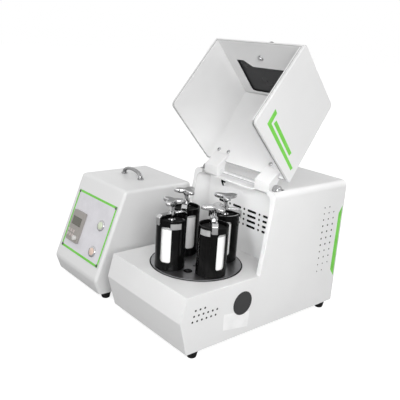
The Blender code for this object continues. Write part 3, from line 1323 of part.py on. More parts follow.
def keypad(control):
    """The speed controller on the fascia: the display's recess and the raised key membrane."""
    left = -KEYPAD_RIGHT - KEYPAD_WIDTH
    place = fascia_place(0, 0, GAP)
    slab = prism(rounded(rectangle(left, KEYPAD_LOW, -KEYPAD_RIGHT, KEYPAD_LOW + KEYPAD_HEIGHT),
                         [KEYPAD_CORNER] * 4, 2), "Z", 0, KEYPAD_THICKNESS)
    body = piece("keypad_housing", moved(slab, place), "keypad_grey", control)
    display = KEYPAD_LOW + DISPLAY_LOW
    cut(body, moved(box((left + DISPLAY_MARGIN, display, KEYPAD_THICKNESS - DISPLAY_DEPTH),
                        (-KEYPAD_RIGHT - DISPLAY_MARGIN, display + DISPLAY_HEIGHT, KEYPAD_THICKNESS + OVERRUN)),
                    place), "display")
    cut(body, moved(cylinder(DIAL_STALK + GAP, (-DIAL_X, DIAL_Y, KEYPAD_THICKNESS - DIAL_STALK_DEPTH - GAP),
                             (-DIAL_X, DIAL_Y, KEYPAD_THICKNESS + OVERRUN), COARSE), place), "dial_hole")
    sheet_left = left + MEMBRANE_MARGIN
    sheet_low = KEYPAD_LOW + MEMBRANE_LOW
    under = KEYPAD_THICKNESS
    sheet = box((sheet_left, sheet_low, under - MEMBRANE),
                (sheet_left + MEMBRANE_WIDTH, sheet_low + MEMBRANE_HEIGHT, under + MEMBRANE))
    join(body, moved(sheet, place), "membrane")
    keys = []
    for column in range(KEY_COLUMNS):
        for row in range(KEY_ROWS):
            x = sheet_left + MEMBRANE_WIDTH / 2 + (column - (KEY_COLUMNS - 1) / 2) * KEY_PITCH
            y = sheet_low + MEMBRANE_HEIGHT / 2 + (row - (KEY_ROWS - 1) / 2) * KEY_PITCH
            keys.append(box((x - KEY_SIZE / 2, y - KEY_SIZE / 2, under + MEMBRANE / 2),
                            (x + KEY_SIZE / 2, y + KEY_SIZE / 2, under + MEMBRANE + KEY_LIFT)))
    join(body, moved(bundle(*keys), place), "keys")


def speed_dial(dial):
    """The controller's round dial, on the axis of its frame."""
    stalk = -DIAL_STALK_DEPTH
    edge = DIAL_HEIGHT / 8
    profile = [(0, DIAL_HEIGHT), (DIAL_RADIUS - edge, DIAL_HEIGHT), (DIAL_RADIUS, DIAL_HEIGHT - edge),
               (DIAL_RADIUS, GAP), (DIAL_STALK, GAP), (DIAL_STALK, stalk), (0, stalk)]
    piece("speed_dial", turned(profile, COARSE), "key_white", dial, smooth=True)


def button_bezels(control):
    """The two round metal bezels through the fascia, each with a floor behind its button."""
    bore = BUTTON_RADIUS + GAP
    chamfer = BEZEL_HEIGHT / 3
    floor = SHEET - BEZEL_DEPTH
    bezel = turned([(bore, BEZEL_HEIGHT), (BEZEL_RADIUS - chamfer, BEZEL_HEIGHT),
                    (BEZEL_RADIUS, BEZEL_HEIGHT - chamfer), (BEZEL_RADIUS, GAP), (BEZEL_BARREL, GAP),
                    (BEZEL_BARREL, -BEZEL_DEPTH), (0, -BEZEL_DEPTH), (0, floor), (bore, floor),
                    (bore, BEZEL_HEIGHT)])
    for name, y in (("start_bezel", START_Y), ("stop_bezel", STOP_Y)):
        piece(name, moved(bezel, fascia_place(BUTTON_X, y)), "chrome", control, smooth=True)


def push_button(name, finish, seat):
    """A lit push button, on the axis of its frame, with room below it for its travel."""
    top = BEZEL_HEIGHT + BUTTON_PROUD
    edge = BUTTON_PROUD / 2
    piece(name, turned([(0, top), (BUTTON_RADIUS - edge, top), (BUTTON_RADIUS, top - edge),
                        (BUTTON_RADIUS, top - BUTTON_DEPTH), (0, top - BUTTON_DEPTH)], ROUND),
          finish, seat, smooth=True)


def box_handle(control):
    """The chrome bow handle on the box's top."""
    foot = BOX_HEIGHT + GAP
    steps = COARSE
    points = []
    for step in range(steps + 1):
        angle = math.pi * step / steps
        points.append((-BOX_HANDLE_X - BOX_HANDLE_SPAN / 2 * math.cos(angle), BOX_HANDLE_Y,
                       foot + BOX_HANDLE_FOOT / 2 + (BOX_HANDLE_HEIGHT - BOX_HANDLE_RADIUS)
                       * math.sin(angle) ** BOX_HANDLE_BOW_SHARE))
    bow = piece("box_handle", tube(points, BOX_HANDLE_RADIUS), "chrome", control, smooth=True)
    ends = [cylinder(BOX_HANDLE_FOOT_RADIUS, (-BOX_HANDLE_X + side * BOX_HANDLE_SPAN / 2, BOX_HANDLE_Y, foot),
                     (-BOX_HANDLE_X + side * BOX_HANDLE_SPAN / 2, BOX_HANDLE_Y, foot + BOX_HANDLE_FOOT), COARSE)
            for side in (-1, 1)]
    join(bow, bundle(*ends), "feet")


def inverter(control):
    """The motor's inverter on the box's floor, with a finned heat sink behind."""
    middle = -BOX_WIDTH / 2
    low = PAN_THICKNESS + GAP
    front = BOX_DEPTH / 3
    half = INVERTER_WIDTH / 2
    unit = piece("inverter_drive", box((middle - half, front, low),
                                       (middle + half, front + INVERTER_DEPTH, low + INVERTER_HEIGHT)),
                 "grey_plastic", control)
    pitch = INVERTER_WIDTH / INVERTER_FINS
    fin = pitch * INVERTER_FIN_SHARE
    fins = [box((middle - half + index * pitch, front + INVERTER_DEPTH - fin, low),
                (middle - half + index * pitch + fin, front + INVERTER_DEPTH + INVERTER_FIN_DEPTH,
                 low + INVERTER_HEIGHT)) for index in range(INVERTER_FINS)]
    join(unit, bundle(*fins), "fins")


def main():
    """Build the mill and its control box."""
    start_scene()
    origin = frame("object_origin", None, (-(LEFT_EXTREME + RIGHT_EXTREME) / 2,
                                           -(FRONT_EXTREME + BACK_EXTREME) / 2, 0))
    mill = frame("mill", origin, (0, 0, FOOT_HEIGHT))
    control = frame("control_box", origin, (BOX_RIGHT, BOX_FRONT, FOOT_HEIGHT))
    housing_shell(mill)
    chamber_liner(mill)
    base_pan(mill)
    rear_panel(mill)
    side_plug(mill)
    hinge_shaft(mill)
    mechanism_plate(mill)
    ring_gear(mill)
    bearing_housing(mill)
    belt(mill)
    rotor = frame("rotor", mill, drive_axis())
    planet_disk(rotor)
    main_shaft(rotor)
    motor(mill, frame("motor_spindle", mill, (DISK_X, MOTOR_Y, 0)))
    for index in range(JAR_COUNT):
        number = index + 1
        place_angle = FIRST_JAR_ANGLE + 2 * math.pi * index / JAR_COUNT
        place = Matrix.Rotation(place_angle, 3, "Z") @ Vector((JAR_ORBIT, 0, 0))
        station = frame(f"jar_station_{number}", rotor, place, (0, 0, WINDOW_ANGLES[index]))
        planet_gear(number, station, place_angle - WINDOW_ANGLES[index])
        carrier(number, station)
        jar(number, station)
        clamp(number, station, frame(f"clamp_screw_{number}", station))
    lid = frame("lid", mill, (0, HINGE_Y, HINGE_Z), (-OPEN_ANGLE, 0, 0))
    lid_shell(lid)
    lid_liner(lid)
    lid_window(lid)
    hinge_arms(lid)
    lid_knob(lid)
    box_shell(control)
    box_base(control)
    fascia(control)
    keypad(control)
    button_bezels(control)
    box_handle(control)
    inverter(control)
    slope = fascia_frame().to_euler()
    dial_seat = fascia_place(DIAL_X, DIAL_Y, GAP + KEYPAD_THICKNESS).translation
    speed_dial(frame("dial", control, dial_seat, slope))
    start_seat = fascia_place(BUTTON_X, START_Y).translation
    push_button("start_button", "green_light", frame("start", control, start_seat, slope))
    stop_seat = fascia_place(BUTTON_X, STOP_Y).translation
    push_button("stop_button", "red_light", frame("stop", control, stop_seat, slope))


if __name__ == "__main__":
    main()
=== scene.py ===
"""The look of a micro planetary ball mill and its control box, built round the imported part."""

from __future__ import annotations

import logging
import math
from dataclasses import dataclass
from enum import Enum
from typing import Callable, Iterable, Sequence, Union

import bmesh
import bpy
from mathutils import Matrix, Vector

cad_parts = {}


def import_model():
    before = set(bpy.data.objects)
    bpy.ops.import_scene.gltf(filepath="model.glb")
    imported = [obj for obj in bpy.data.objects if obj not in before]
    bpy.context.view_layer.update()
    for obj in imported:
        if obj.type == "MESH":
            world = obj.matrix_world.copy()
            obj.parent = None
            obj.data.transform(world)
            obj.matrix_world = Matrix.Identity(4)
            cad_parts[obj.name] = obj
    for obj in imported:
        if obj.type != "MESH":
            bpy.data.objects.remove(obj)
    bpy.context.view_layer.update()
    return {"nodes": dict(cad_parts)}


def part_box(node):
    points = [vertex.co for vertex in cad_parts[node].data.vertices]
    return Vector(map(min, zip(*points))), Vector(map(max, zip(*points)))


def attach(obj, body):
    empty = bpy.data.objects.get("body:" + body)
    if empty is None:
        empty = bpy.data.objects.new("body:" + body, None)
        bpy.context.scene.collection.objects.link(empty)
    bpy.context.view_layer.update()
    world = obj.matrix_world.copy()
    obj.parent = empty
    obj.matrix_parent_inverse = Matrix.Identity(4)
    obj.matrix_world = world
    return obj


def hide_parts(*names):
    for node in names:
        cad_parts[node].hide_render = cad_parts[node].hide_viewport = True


LOG = logging.getLogger("ball_mill")
MAIN_BODY = "mill_and_control_box"
FOOT_HEIGHT = 0.018
MILL_PLACE = Matrix.Translation((0.14625, -0.24775, FOOT_HEIGHT))
BOX_PLACE = Matrix.Translation((-0.06545, -0.25695, FOOT_HEIGHT))
PANEL_INSET = 0.0005
TRAY_HEIGHT = 0.012
TRAY_FLOOR = 0.003
PANEL_SCREW = (0.003, 0.0016)
GAP = 0.0003
CLOSE = 0.0001
BEYOND = 0.004

# A plate is drawn flat. These stand it up: its outline in Y and Z, or in X and Z, which mirrors it.
SIDEWAYS = Matrix(((0, 0, 1, 0), (1, 0, 0, 0), (0, 1, 0, 0), (0, 0, 0, 1)))
FRONTWAYS = Matrix(((1, 0, 0, 0), (0, 0, 1, 0), (0, 1, 0, 0), (0, 0, 0, 1)))

Point = Sequence[float]
Value = Union[float, Sequence[float], "Signal"]


# Places

def shift(x: float, y: float, z: float) -> Matrix:
    """Give a move."""
    return Matrix.Translation((x, y, z))


def rotate(degrees: float, axis: str) -> Matrix:
    """Give a turn about an axis."""
    return Matrix.Rotation(math.radians(degrees), 4, axis)


def facing(spot: Vector, target: Vector) -> Matrix:
    """Give the place of something that looks down its own Z axis at a target."""
    return Matrix.Translation(spot) @ (target - spot).to_track_quat("-Z", "Y").to_matrix().to_4x4()


def slope_frame(low: Point, high: Point) -> Matrix:
    """Give a sloping panel's frame: X right, Y up the panel and Z outward.

    Args:
        low: The y and z of its lower edge.
        high: Those of its upper edge.

    Returns:
        The frame.
    """
    start = Vector((0, *low))
    up = (Vector((0, *high)) - start).normalized()
    right = Vector((1, 0, 0))
    return Matrix.Translation(start) @ Matrix((right, up, right.cross(up))).transposed().to_4x4()


# Meshes

class Form:
    """A mesh being made with Blender's mesh operators."""

    def __init__(self) -> None:
        """Start an empty mesh."""
        self.mesh = bmesh.new()

    @classmethod
    def block(cls, low: Point, high: Point) -> Form:
        """Make a box.

        Args:
            low: The lowest corner.
            high: The highest corner.

        Returns:
            The new form.
        """
        form = cls()
        size = Vector(high) - Vector(low)
        place = Matrix.Translation((Vector(low) + Vector(high)) / 2) @ Matrix.Diagonal((*size, 1.0))
        bmesh.ops.create_cube(form.mesh, size=1.0, matrix=place)
        return form

    @classmethod
    def rod(cls, radius: float, low: float, high: float, segments: int = 32) -> Form:
        """Make a cylinder on the Z axis between two heights."""
        return cls.turned([(0, low), (radius, low), (radius, high), (0, high)], segments)

    @classmethod
    def pin(cls, radius: float, reach: float, chamfer: float, segments: int = 48) -> Form:
        """Make a cylinder with chamfered ends that reach equally far from the origin."""
        return cls.turned([(0, -reach), (radius - chamfer, -reach), (radius, chamfer - reach),
                           (radius, reach - chamfer), (radius - chamfer, reach), (0, reach)], segments)

    @classmethod
    def turned(cls, profile: Sequence[Point], segments: int = 64) -> Form:
        """Turn a profile about Z.

        Args:
            profile: Pairs of radius and height, in order.
            segments: The number of steps round the turn.

        Returns:
            The new form.
        """
        form = cls()
        verts = [form.mesh.verts.new((radius, 0.0, height)) for radius, height in profile]
        edges = [form.mesh.edges.new(pair) for pair in zip(verts, verts[1:])]
        bmesh.ops.spin(form.mesh, geom=verts + edges, axis=(0, 0, 1), cent=(0, 0, 0), angle=2 * math.pi,
                       steps=segments, use_merge=True)
        return form.closed()

    @classmethod
    def plate(cls, outline: Sequence[Point], low: float, high: float) -> Form:
        """Extrude a flat outline along Z.

        Args:
            outline: Pairs of x and y round the outline.
            low: The height of the underside.
            high: The height of the top.

        Returns:
            The new form.
        """
        form = cls()
        face = form.mesh.faces.new([form.mesh.verts.new((x, y, low)) for x, y in outline])
        made = bmesh.ops.extrude_face_region(form.mesh, geom=[face])["geom"]
        bmesh.ops.translate(form.mesh, vec=(0, 0, high - low),
                            verts=[item for item in made if isinstance(item, bmesh.types.BMVert)])
        return form.closed()

    @classmethod
    def swept(cls, path: Sequence[Vector], radii: Sequence[float], flat: float = 1.0,
              segments: int = 24) -> Form:
        """Run a round or flattened section along a path that lies in one upright plane.

        Args:
            path: The points of the path.
            radii: The section's radius at each point.
            flat: The section's depth as a share of its width.
            segments: The number of points round the section.

        Returns:
            The new form.
        """
        form = cls()
        loops = []
        for index, point in enumerate(path):
            along = (path[min(index + 1, len(path) - 1)] - path[max(index - 1, 0)]).normalized()
            side = Vector((0, 1, 0))
            up = along.cross(side).normalized()
            turn = Matrix((side, up * flat, along)).transposed().to_4x4()
            ring = bmesh.ops.create_circle(
                form.mesh, cap_ends=index in (0, len(path) - 1), segments=segments, radius=radii[index],
                matrix=Matrix.Translation(point) @ turn)["verts"]
            own = set(ring)
            loops.append({edge for vert in ring for edge in vert.link_edges
                          if set(edge.verts) <= own and len(edge.link_faces) < 2})
        for first, second in zip(loops, loops[1:]):
            bmesh.ops.bridge_loops(form.mesh, edges=list(first | second))
        return form.closed()

    @classmethod
    def stacked(cls, outline: Sequence[Point], levels: Sequence[Point]) -> Form:
        """Stack scaled copies of an outline and close them to one body.

        Args:
            outline: Pairs of x and y round the outline.
            levels: Pairs of scale and height, from one end to the other.

        Returns:
            The new form.
        """
        form = cls()
        rings = [[form.mesh.verts.new((x * scale, y * scale, height)) for x, y in outline]
                 for scale, height in levels]
        form.mesh.faces.new(rings[0])
        form.mesh.faces.new(rings[-1])
        edges = form.mesh.edges
        loops = [[edges.get(pair) or edges.new(pair) for pair in zip(ring, ring[1:] + ring[:1])]
                 for ring in rings]
        for first, second in zip(loops, loops[1:]):
            bmesh.ops.bridge_loops(form.mesh, edges=first + second)
        return form.closed()

    @classmethod
    def copy_of(cls, node: bpy.types.Object) -> Form:
        """Copy a CAD node, with its doubled corners merged and its flat faces joined.

        Args:
            node: The CAD node.

        Returns:
            The new form.
        """
        form = cls()
        form.mesh.from_mesh(node.data)
        bmesh.ops.remove_doubles(form.mesh, verts=form.mesh.verts[:], dist=2e-6)
        bmesh.ops.dissolve_limit(form.mesh, angle_limit=math.radians(0.4), verts=form.mesh.verts[:],
                                 edges=form.mesh.edges[:])
        return form

    def closed(self) -> Form:
        """Merge doubled corners and turn every face outward.

        Returns:
            This form.
        """
        self.mesh.normal_update()
        bmesh.ops.remove_doubles(self.mesh, verts=self.mesh.verts[:], dist=1e-6)
        bmesh.ops.recalc_face_normals(self.mesh, faces=self.mesh.faces[:])
        return self

    def bevelled(self, width: float, steps: int = 2,
                 chosen: Callable[[bmesh.types.BMEdge], bool] = lambda edge: True,
                 angle: float = 25.0) -> Form:
        """Round the edges that are sharper than an angle.

        Args:
            width: The width of the bevel.
            steps: Its number of segments.
            chosen: Whether an edge is taken.
            angle: The least angle between an edge's faces, in degrees.

        Returns:
            This form.
        """
        edges = [edge for edge in self.mesh.edges if len(edge.link_faces) == 2
                 and edge.calc_face_angle(0.0) > math.radians(angle) and chosen(edge)]
        bmesh.ops.bevel(self.mesh, geom=edges, offset=width, offset_type="OFFSET", segments=steps,
                        profile=0.5, affect="EDGES", clamp_overlap=True, material=-1)
        return self

    def moved(self, place: Matrix) -> Form:
        """Move and turn the whole mesh."""
        bmesh.ops.transform(self.mesh, matrix=place, verts=self.mesh.verts[:])
        return self

    def twin(self) -> Form:
        """Make a second form like this one.

        Returns:
            The new form.
        """
        form = Form()
        form.mesh = self.mesh.copy()
        return form

    def added(self, other: Form) -> Form:
        """Take in another form as a separate shell.

        Args:
            other: The form to take in.

        Returns:
            This form.
        """
        mesh = bpy.data.meshes.new("added")
        other.mesh.to_mesh(mesh)
        self.mesh.from_mesh(mesh)
        bpy.data.meshes.remove(mesh)
        return self

    def repeated(self, places: Iterable[Matrix]) -> Form:
        """Make a new form with a shell like this one at each place.

        Args:
            places: The place of each shell.

        Returns:
            The new form.
        """
        form = Form()
        for place in places:
            form.added(self.twin().moved(place))
        return form

    def _combine(self, other: Form, operation: str) -> None:
        """Cut or join this mesh with another by an exact Boolean.

        Args:
            other: The form to cut or join with.
            operation: The Boolean's name.
        """
        pair = []
        for form in (self, other):
            mesh = bpy.data.meshes.new("boolean")
            form.mesh.to_mesh(mesh)
            thing = bpy.data.objects.new("boolean", mesh)
            bpy.context.scene.collection.objects.link(thing)
            pair.append(thing)
        change = pair[0].modifiers.new("boolean", "BOOLEAN")
        change.operation = operation
        change.solver = "EXACT"
        change.object = pair[1]
        graph = bpy.context.evaluated_depsgraph_get()
        result = bpy.data.meshes.new_from_object(pair[0].evaluated_get(graph))
        self.mesh.clear()
        self.mesh.from_mesh(result)
        bpy.data.meshes.remove(result)
        for thing in pair:
            mesh = thing.data
            bpy.data.objects.remove(thing)
            bpy.data.meshes.remove(mesh)

    def carved(self, *tools: Form) -> Form:
        """Cut other forms out of this one.

        Args:
            *tools: The forms to cut out.

        Returns:
            This form.
        """
        for tool in tools:
            self._combine(tool, "DIFFERENCE")
        return self

    def fused(self, *others: Form) -> Form:
        """Join other forms into this one.

        Args:
            *others: The forms to join in.

        Returns:
            This form.
        """
        for other in others:
            self._combine(other, "UNION")
        return self

    def piece(self, name: str, finish: Union[Coat, Finish], stands_for: str | None = None,
              body: str = MAIN_BODY, slot: str | None = None, smooth: float = 40.0) -> None:
        """Make the finished object of this form.

        Args:
            name: The piece's name.
            finish: Its finish.
            stands_for: The CAD node that it is shown in place of.
            body: The CAD body it moves with.
            slot: Not used.
            smooth: The sharpest angle that is shaded smooth, in degrees.
        """
        mesh = bpy.data.meshes.new(name)
        self.mesh.to_mesh(mesh)
        mesh.shade_smooth()
        mesh.set_sharp_from_angle(angle=math.radians(smooth))
        mesh.materials.append(finish.material())
        thing = bpy.data.objects.new(name, mesh)
        bpy.context.scene.collection.objects.link(thing)
        shading = thing.modifiers.new("even_shading", "WEIGHTED_NORMAL")
        shading.keep_sharp = True
        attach(thing, body)
        if stands_for:
            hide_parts(stands_for)
        LOG.info("%s: %d faces on %s", name, len(mesh.polygons), body)


def rounded_rectangle(low_x: float, low_y: float, high_x: float, high_y: float, radius: float,
                      steps: int = 6) -> list[tuple[float, float]]:
    """Outline a rectangle with round corners.

    Args:
        low_x: The left side.
        low_y: The lower side.
        high_x: The right side.
        high_y: The upper side.
        radius: The corners' radius.
        steps: The number of steps round one corner.

    Returns:
        The outline's points.
    """
    corners = ((high_x - radius, high_y - radius), (low_x + radius, high_y - radius),
               (low_x + radius, low_y + radius), (high_x - radius, low_y + radius))
    points = []
    for quarter, (x, y) in enumerate(corners):
        for step in range(steps + 1):
            across, up = polar(radius, math.pi / 2 * (quarter + step / steps))
            points.append((x + across, y + up))
    return points


def polar(radius: float, angle: float) -> tuple[float, float]:
    """Give a point by its distance from the centre and its angle in radians."""
    return radius * math.cos(angle), radius * math.sin(angle)


def hexagon(radius: float) -> list[tuple[float, float]]:
    """Outline a hexagon."""
    return [polar(radius, math.pi / 3 * step) for step in range(6)]


def longer_than(length: float) -> Callable[[bmesh.types.BMEdge], bool]:
    """Choose the edges above a length."""
    return lambda edge: edge.calc_length() > length


# Materials

class Signal:
    """A socket of a node tree with which arithmetic can be written."""

    def __init__(self, recipe: Recipe, socket: bpy.types.NodeSocket) -> None:
        """Wrap an output socket of a recipe."""
        self.recipe = recipe
        self.socket = socket

    def _math(self, operation: str, first: Value, second: Value = 0.0) -> Signal:
        """Make one Math node."""
        return self.recipe.node("ShaderNodeMath", {"operation": operation}, {0: first, 1: second})

    def __add__(self, other: Value) -> Signal:
        """Add."""
        return self._math("ADD", self, other)

    __radd__ = __add__

    def __mul__(self, other: Value) -> Signal:
        """Multiply."""
        return self._math("MULTIPLY", self, other)

    __rmul__ = __mul__

    def sine(self) -> Signal:
        """Take the sine."""
        return self._math("SINE", self)

    def or_more(self, other: Value) -> Signal:
        """Take the greater of two."""
        return self._math("MAXIMUM", self, other)

    def span(self, low: float, high: float, to_low: float = 0.0, to_high: float = 1.0) -> Signal:
        """Map a range smoothly to another."""
        return self.recipe.node("ShaderNodeMapRange", {"interpolation_type": "SMOOTHSTEP"},
                                {0: self, 1: low, 2: high, 3: to_low, 4: to_high})


class Recipe:
    """The node tree of a material or a world while it is written."""

    def __init__(self, owner: Union[bpy.types.Material, bpy.types.World]) -> None:
        """Start with an empty tree.

        Args:
            owner: The material or world that holds the tree.
        """
        owner.use_nodes = True
        self.owner = owner
        self.tree = owner.node_tree
        self.tree.nodes.clear()

    def node(self, kind: str, settings: dict[str, object] | None = None,
             inputs: dict[Union[int, str], Value] | None = None, output: Union[int, str] = 0) -> Signal:
        """Make a node, set it, and link or fill its inputs.

        Args:
            kind: The node's type.
            settings: Its settings.
            inputs: Its inputs by name or number.
            output: The output that is wanted.

        Returns:
            The wanted output.
        """
        made = self.tree.nodes.new(kind)
        for key, value in (settings or {}).items():
            setattr(made, key, value)
        for key, value in (inputs or {}).items():
            if isinstance(value, Signal):
                self.tree.links.new(value.socket, made.inputs[key])
            else:
                made.inputs[key].default_value = value
        return Signal(self, made.outputs[output])

    def place(self, centre: Point = (0, 0, 0), stretch: Point = (1, 1, 1)) -> Signal:
        """Give the object's coordinates about a centre.

        Args:
            centre: The point that becomes the origin.
            stretch: The scale of each axis.

        Returns:
            The coordinates.
        """
        here = self.node("ShaderNodeTexCoord", output="Object")
        shift = [-middle * scale for middle, scale in zip(centre, stretch)]
        return self.node("ShaderNodeMapping", {"vector_type": "POINT"},
                         {"Vector": here, "Location": shift, "Scale": tuple(stretch)})

    def noise(self, scale: float, detail: float = 3.0, at: Signal | None = None) -> Signal:
        """Give a noise from nought to one."""
        return self.node("ShaderNodeTexNoise", {}, {"Vector": at or self.place(), "Scale": scale,
                                                    "Detail": detail, "Roughness": 0.55})

    def mix(self, share: Value, first: Value, second: Value) -> Signal:
        """Mix two colours."""
        pair = [value if isinstance(value, Signal) else (*value, 1.0) for value in (first, second)]
        return self.node("ShaderNodeMix", {"data_type": "RGBA"}, {0: share, 6: pair[0], 7: pair[1]}, output=2)

    def relief(self, height: Signal, depth: float, strength: float = 1.0) -> Signal:
        """Turn a height from nought to one into a bumped normal, with its depth in metres."""
        return self.node("ShaderNodeBump", {}, {"Height": height, "Distance": depth, "Strength": strength})

    def surface(self, **inputs: Value) -> bpy.types.Material:
        """Close the recipe with one surface shader, its inputs named with underscores for spaces.

        Args:
            **inputs: The shader's inputs.

        Returns:
            The finished material.
        """
        shader = self.node("ShaderNodeBsdfPrincipled", {},
                           {key.replace("_", " "): value for key, value in inputs.items()}, "BSDF")
        self.close(shader, "ShaderNodeOutputMaterial")
        return self.owner

    def close(self, shader: Signal, kind: str) -> None:
        """Link a shader to an output node."""
        end = self.tree.nodes.new(kind)
        self.tree.links.new(shader.socket, end.inputs["Surface"])


def grey(shade: float, blue: float = 1.0) -> tuple[float, float, float]:
    """Give a grey, with its blue as a share of the rest."""
    return shade, shade, shade * blue


def shaded(colour: Point, share: float) -> list[float]:
    """Darken a colour."""
    return [part * share for part in colour]


@dataclass(frozen=True)
class Finish:
    """A finish with a name."""

    name: str

    def material(self) -> bpy.types.Material:
        """Give the finish's material, written once."""
        return bpy.data.materials.get(self.name) or self.written(Recipe(bpy.data.materials.new(self.name)))

    def written(self, recipe: Recipe) -> bpy.types.Material:
        """Write the finish into a recipe."""
        raise NotImplementedError


@dataclass(frozen=True)
class PowderCoat(Finish):
    """Semi-gloss powder coat with a fine orange peel."""

    colour: Point = (0.80, 0.80, 0.80)
    gloss: float = 0.36

    def written(self, recipe: Recipe) -> bpy.types.Material:
        """Write the finish into a recipe.

        Args:
            recipe: The recipe, still empty.

        Returns:
            The material.
        """
        broad = recipe.noise(7.0)
        colour = recipe.mix(broad.span(0.3, 0.7), shaded(self.colour, 0.975), self.colour)
        rough = recipe.noise(45.0).span(0.2, 0.8, self.gloss - 0.04, self.gloss + 0.05)
        return recipe.surface(Base_Color=colour, Roughness=rough, Coat_Weight=0.1, Coat_Roughness=0.2,
                              Normal=recipe.relief(recipe.noise(650.0, 2.0), 0.00004, 0.5),
                              Specular_IOR_Level=0.3)


@dataclass(frozen=True)
class GlossBlack(Finish):
    """Black enamel, polished, with faint wipe marks."""

    def written(self, recipe: Recipe) -> bpy.types.Material:
        """Write the finish into a recipe.

        Args:
            recipe: The recipe, still empty.

        Returns:
            The material.
        """
        wipes = recipe.noise(60.0, 4.0, recipe.place(stretch=(1.0, 1.0, 0.25)))
        colour = recipe.mix(wipes, grey(0.002), grey(0.005))
        return recipe.surface(Base_Color=colour, Roughness=wipes.span(0.3, 0.8, 0.10, 0.2),
                              Normal=recipe.relief(recipe.noise(300.0, 2.0), 0.00003, 0.4),
                              Specular_IOR_Level=0.05, Coat_Weight=0.14, Coat_Roughness=0.04)


@dataclass(frozen=True)
class Chrome(Finish):
    """Bright plating with slight haze."""

    shade: float = 0.60

    def written(self, recipe: Recipe) -> bpy.types.Material:
        """Write the finish into a recipe.

        Args:
            recipe: The recipe, still empty.

        Returns:
            The material.
        """
        haze = recipe.noise(90.0, 4.0)
        light = grey(self.shade, 1.01)
        colour = recipe.mix(haze.span(0.3, 0.75), light, shaded(light, 0.88))
        return recipe.surface(Base_Color=colour, Metallic=1.0, Roughness=haze.span(0.25, 0.8, 0.07, 0.17),
                              Normal=recipe.relief(recipe.noise(160.0, 2.0), 0.00005, 0.5))


@dataclass(frozen=True)
class TurnedSteel(Finish):
    """Steel faced on a lathe, with fine rings about a centre."""

    centre: Point = (0, 0, 0)
    shade: float = 0.46

    def written(self, recipe: Recipe) -> bpy.types.Material:
        """Write the finish into a recipe.

        Args:
            recipe: The recipe, still empty.

        Returns:
            The material.
        """
        flat = recipe.place(self.centre, (1.0, 1.0, 0.0))
        radius = recipe.node("ShaderNodeVectorMath", {"operation": "LENGTH"}, {0: flat}, "Value")
        rings = (radius * 5200.0 + recipe.noise(40.0) * 6.0).sine() * 0.5 + 0.5
        patches = recipe.noise(30.0, 4.0)
        light = grey(self.shade, 1.03)
        colour = recipe.mix(patches.span(0.3, 0.75) * 0.6 + rings * 0.4, light, shaded(light, 0.7))
        return recipe.surface(Base_Color=colour, Metallic=1.0, Roughness=rings * 0.08 + patches * 0.12 + 0.24,
                              Normal=recipe.relief(rings, 0.00003, 0.35))


@dataclass(frozen=True)
class MachinedSteel(Finish):
    """Plain machined steel with a little oil on it."""

    shade: float = 0.42

    def written(self, recipe: Recipe) -> bpy.types.Material:
        """Write the finish into a recipe.

        Args:
            recipe: The recipe, still empty.

        Returns:
            The material.
        """
        oil = recipe.noise(26.0, 4.0)
        lines = recipe.noise(240.0, 2.0, recipe.place(stretch=(0.08, 1.0, 1.0)))
        bright = grey(self.shade, 1.02)
        colour = recipe.mix(oil.span(0.35, 0.7), bright, shaded(bright, 0.7))
        return recipe.surface(Base_Color=colour, Metallic=1.0, Roughness=oil.span(0.2, 0.8, 0.24, 0.42),
                              Normal=recipe.relief(lines, 0.00004, 0.4))


@dataclass(frozen=True)
class JarCeramic(Finish):
    """Dense white jar material, slightly scuffed."""

    shade: float = 0.99

    def written(self, recipe: Recipe) -> bpy.types.Material:
        """Write the finish into a recipe.

        Args:
            recipe: The recipe, still empty.

        Returns:
            The material.
        """
        scuffs = recipe.noise(70.0, 5.0)
        white = grey(self.shade, 0.99)
        colour = recipe.mix(scuffs.span(0.45, 0.8), white, shaded(white, 0.94))
        return recipe.surface(Base_Color=colour, Roughness=scuffs.span(0.2, 0.8, 0.28, 0.4), Coat_Weight=0.2,
                              Normal=recipe.relief(scuffs, 0.00004, 0.3))


@dataclass(frozen=True)
class Moulding(Finish):
    """Moulded plastic or rubber with a fine grain."""

    colour: Point = (0.3, 0.3, 0.3)
    gloss: float = 0.5
    grain: float = 500.0
    shine: float = 0.25

    def written(self, recipe: Recipe) -> bpy.types.Material:
        """Write the finish into a recipe.

        Args:
            recipe: The recipe, still empty.

        Returns:
            The material.
        """
        grain = recipe.noise(self.grain, 3.0)
        wear = recipe.noise(24.0, 4.0)
        colour = recipe.mix(wear.span(0.3, 0.75), self.colour, shaded(self.colour, 0.9))
        return recipe.surface(Base_Color=colour, Roughness=grain * 0.08 + (self.gloss - 0.04),
                              Normal=recipe.relief(grain, 0.00005, 0.5), Specular_IOR_Level=self.shine)


@dataclass(frozen=True)
class SmokedPane(Finish):
    """Dark smoked acrylic."""

    def written(self, recipe: Recipe) -> bpy.types.Material:
        """Write the finish into a recipe.

        Args:
            recipe: The recipe, still empty.

        Returns:
            The material.
        """
        haze = recipe.noise(18.0, 4.0)
        colour = recipe.mix(haze, (0.020, 0.020, 0.021), (0.032, 0.032, 0.033))
        return recipe.surface(Base_Color=colour, Roughness=haze.span(0.2, 0.8, 0.16, 0.3),
                              Normal=recipe.relief(haze, 0.00005, 0.2), Specular_IOR_Level=0.2)


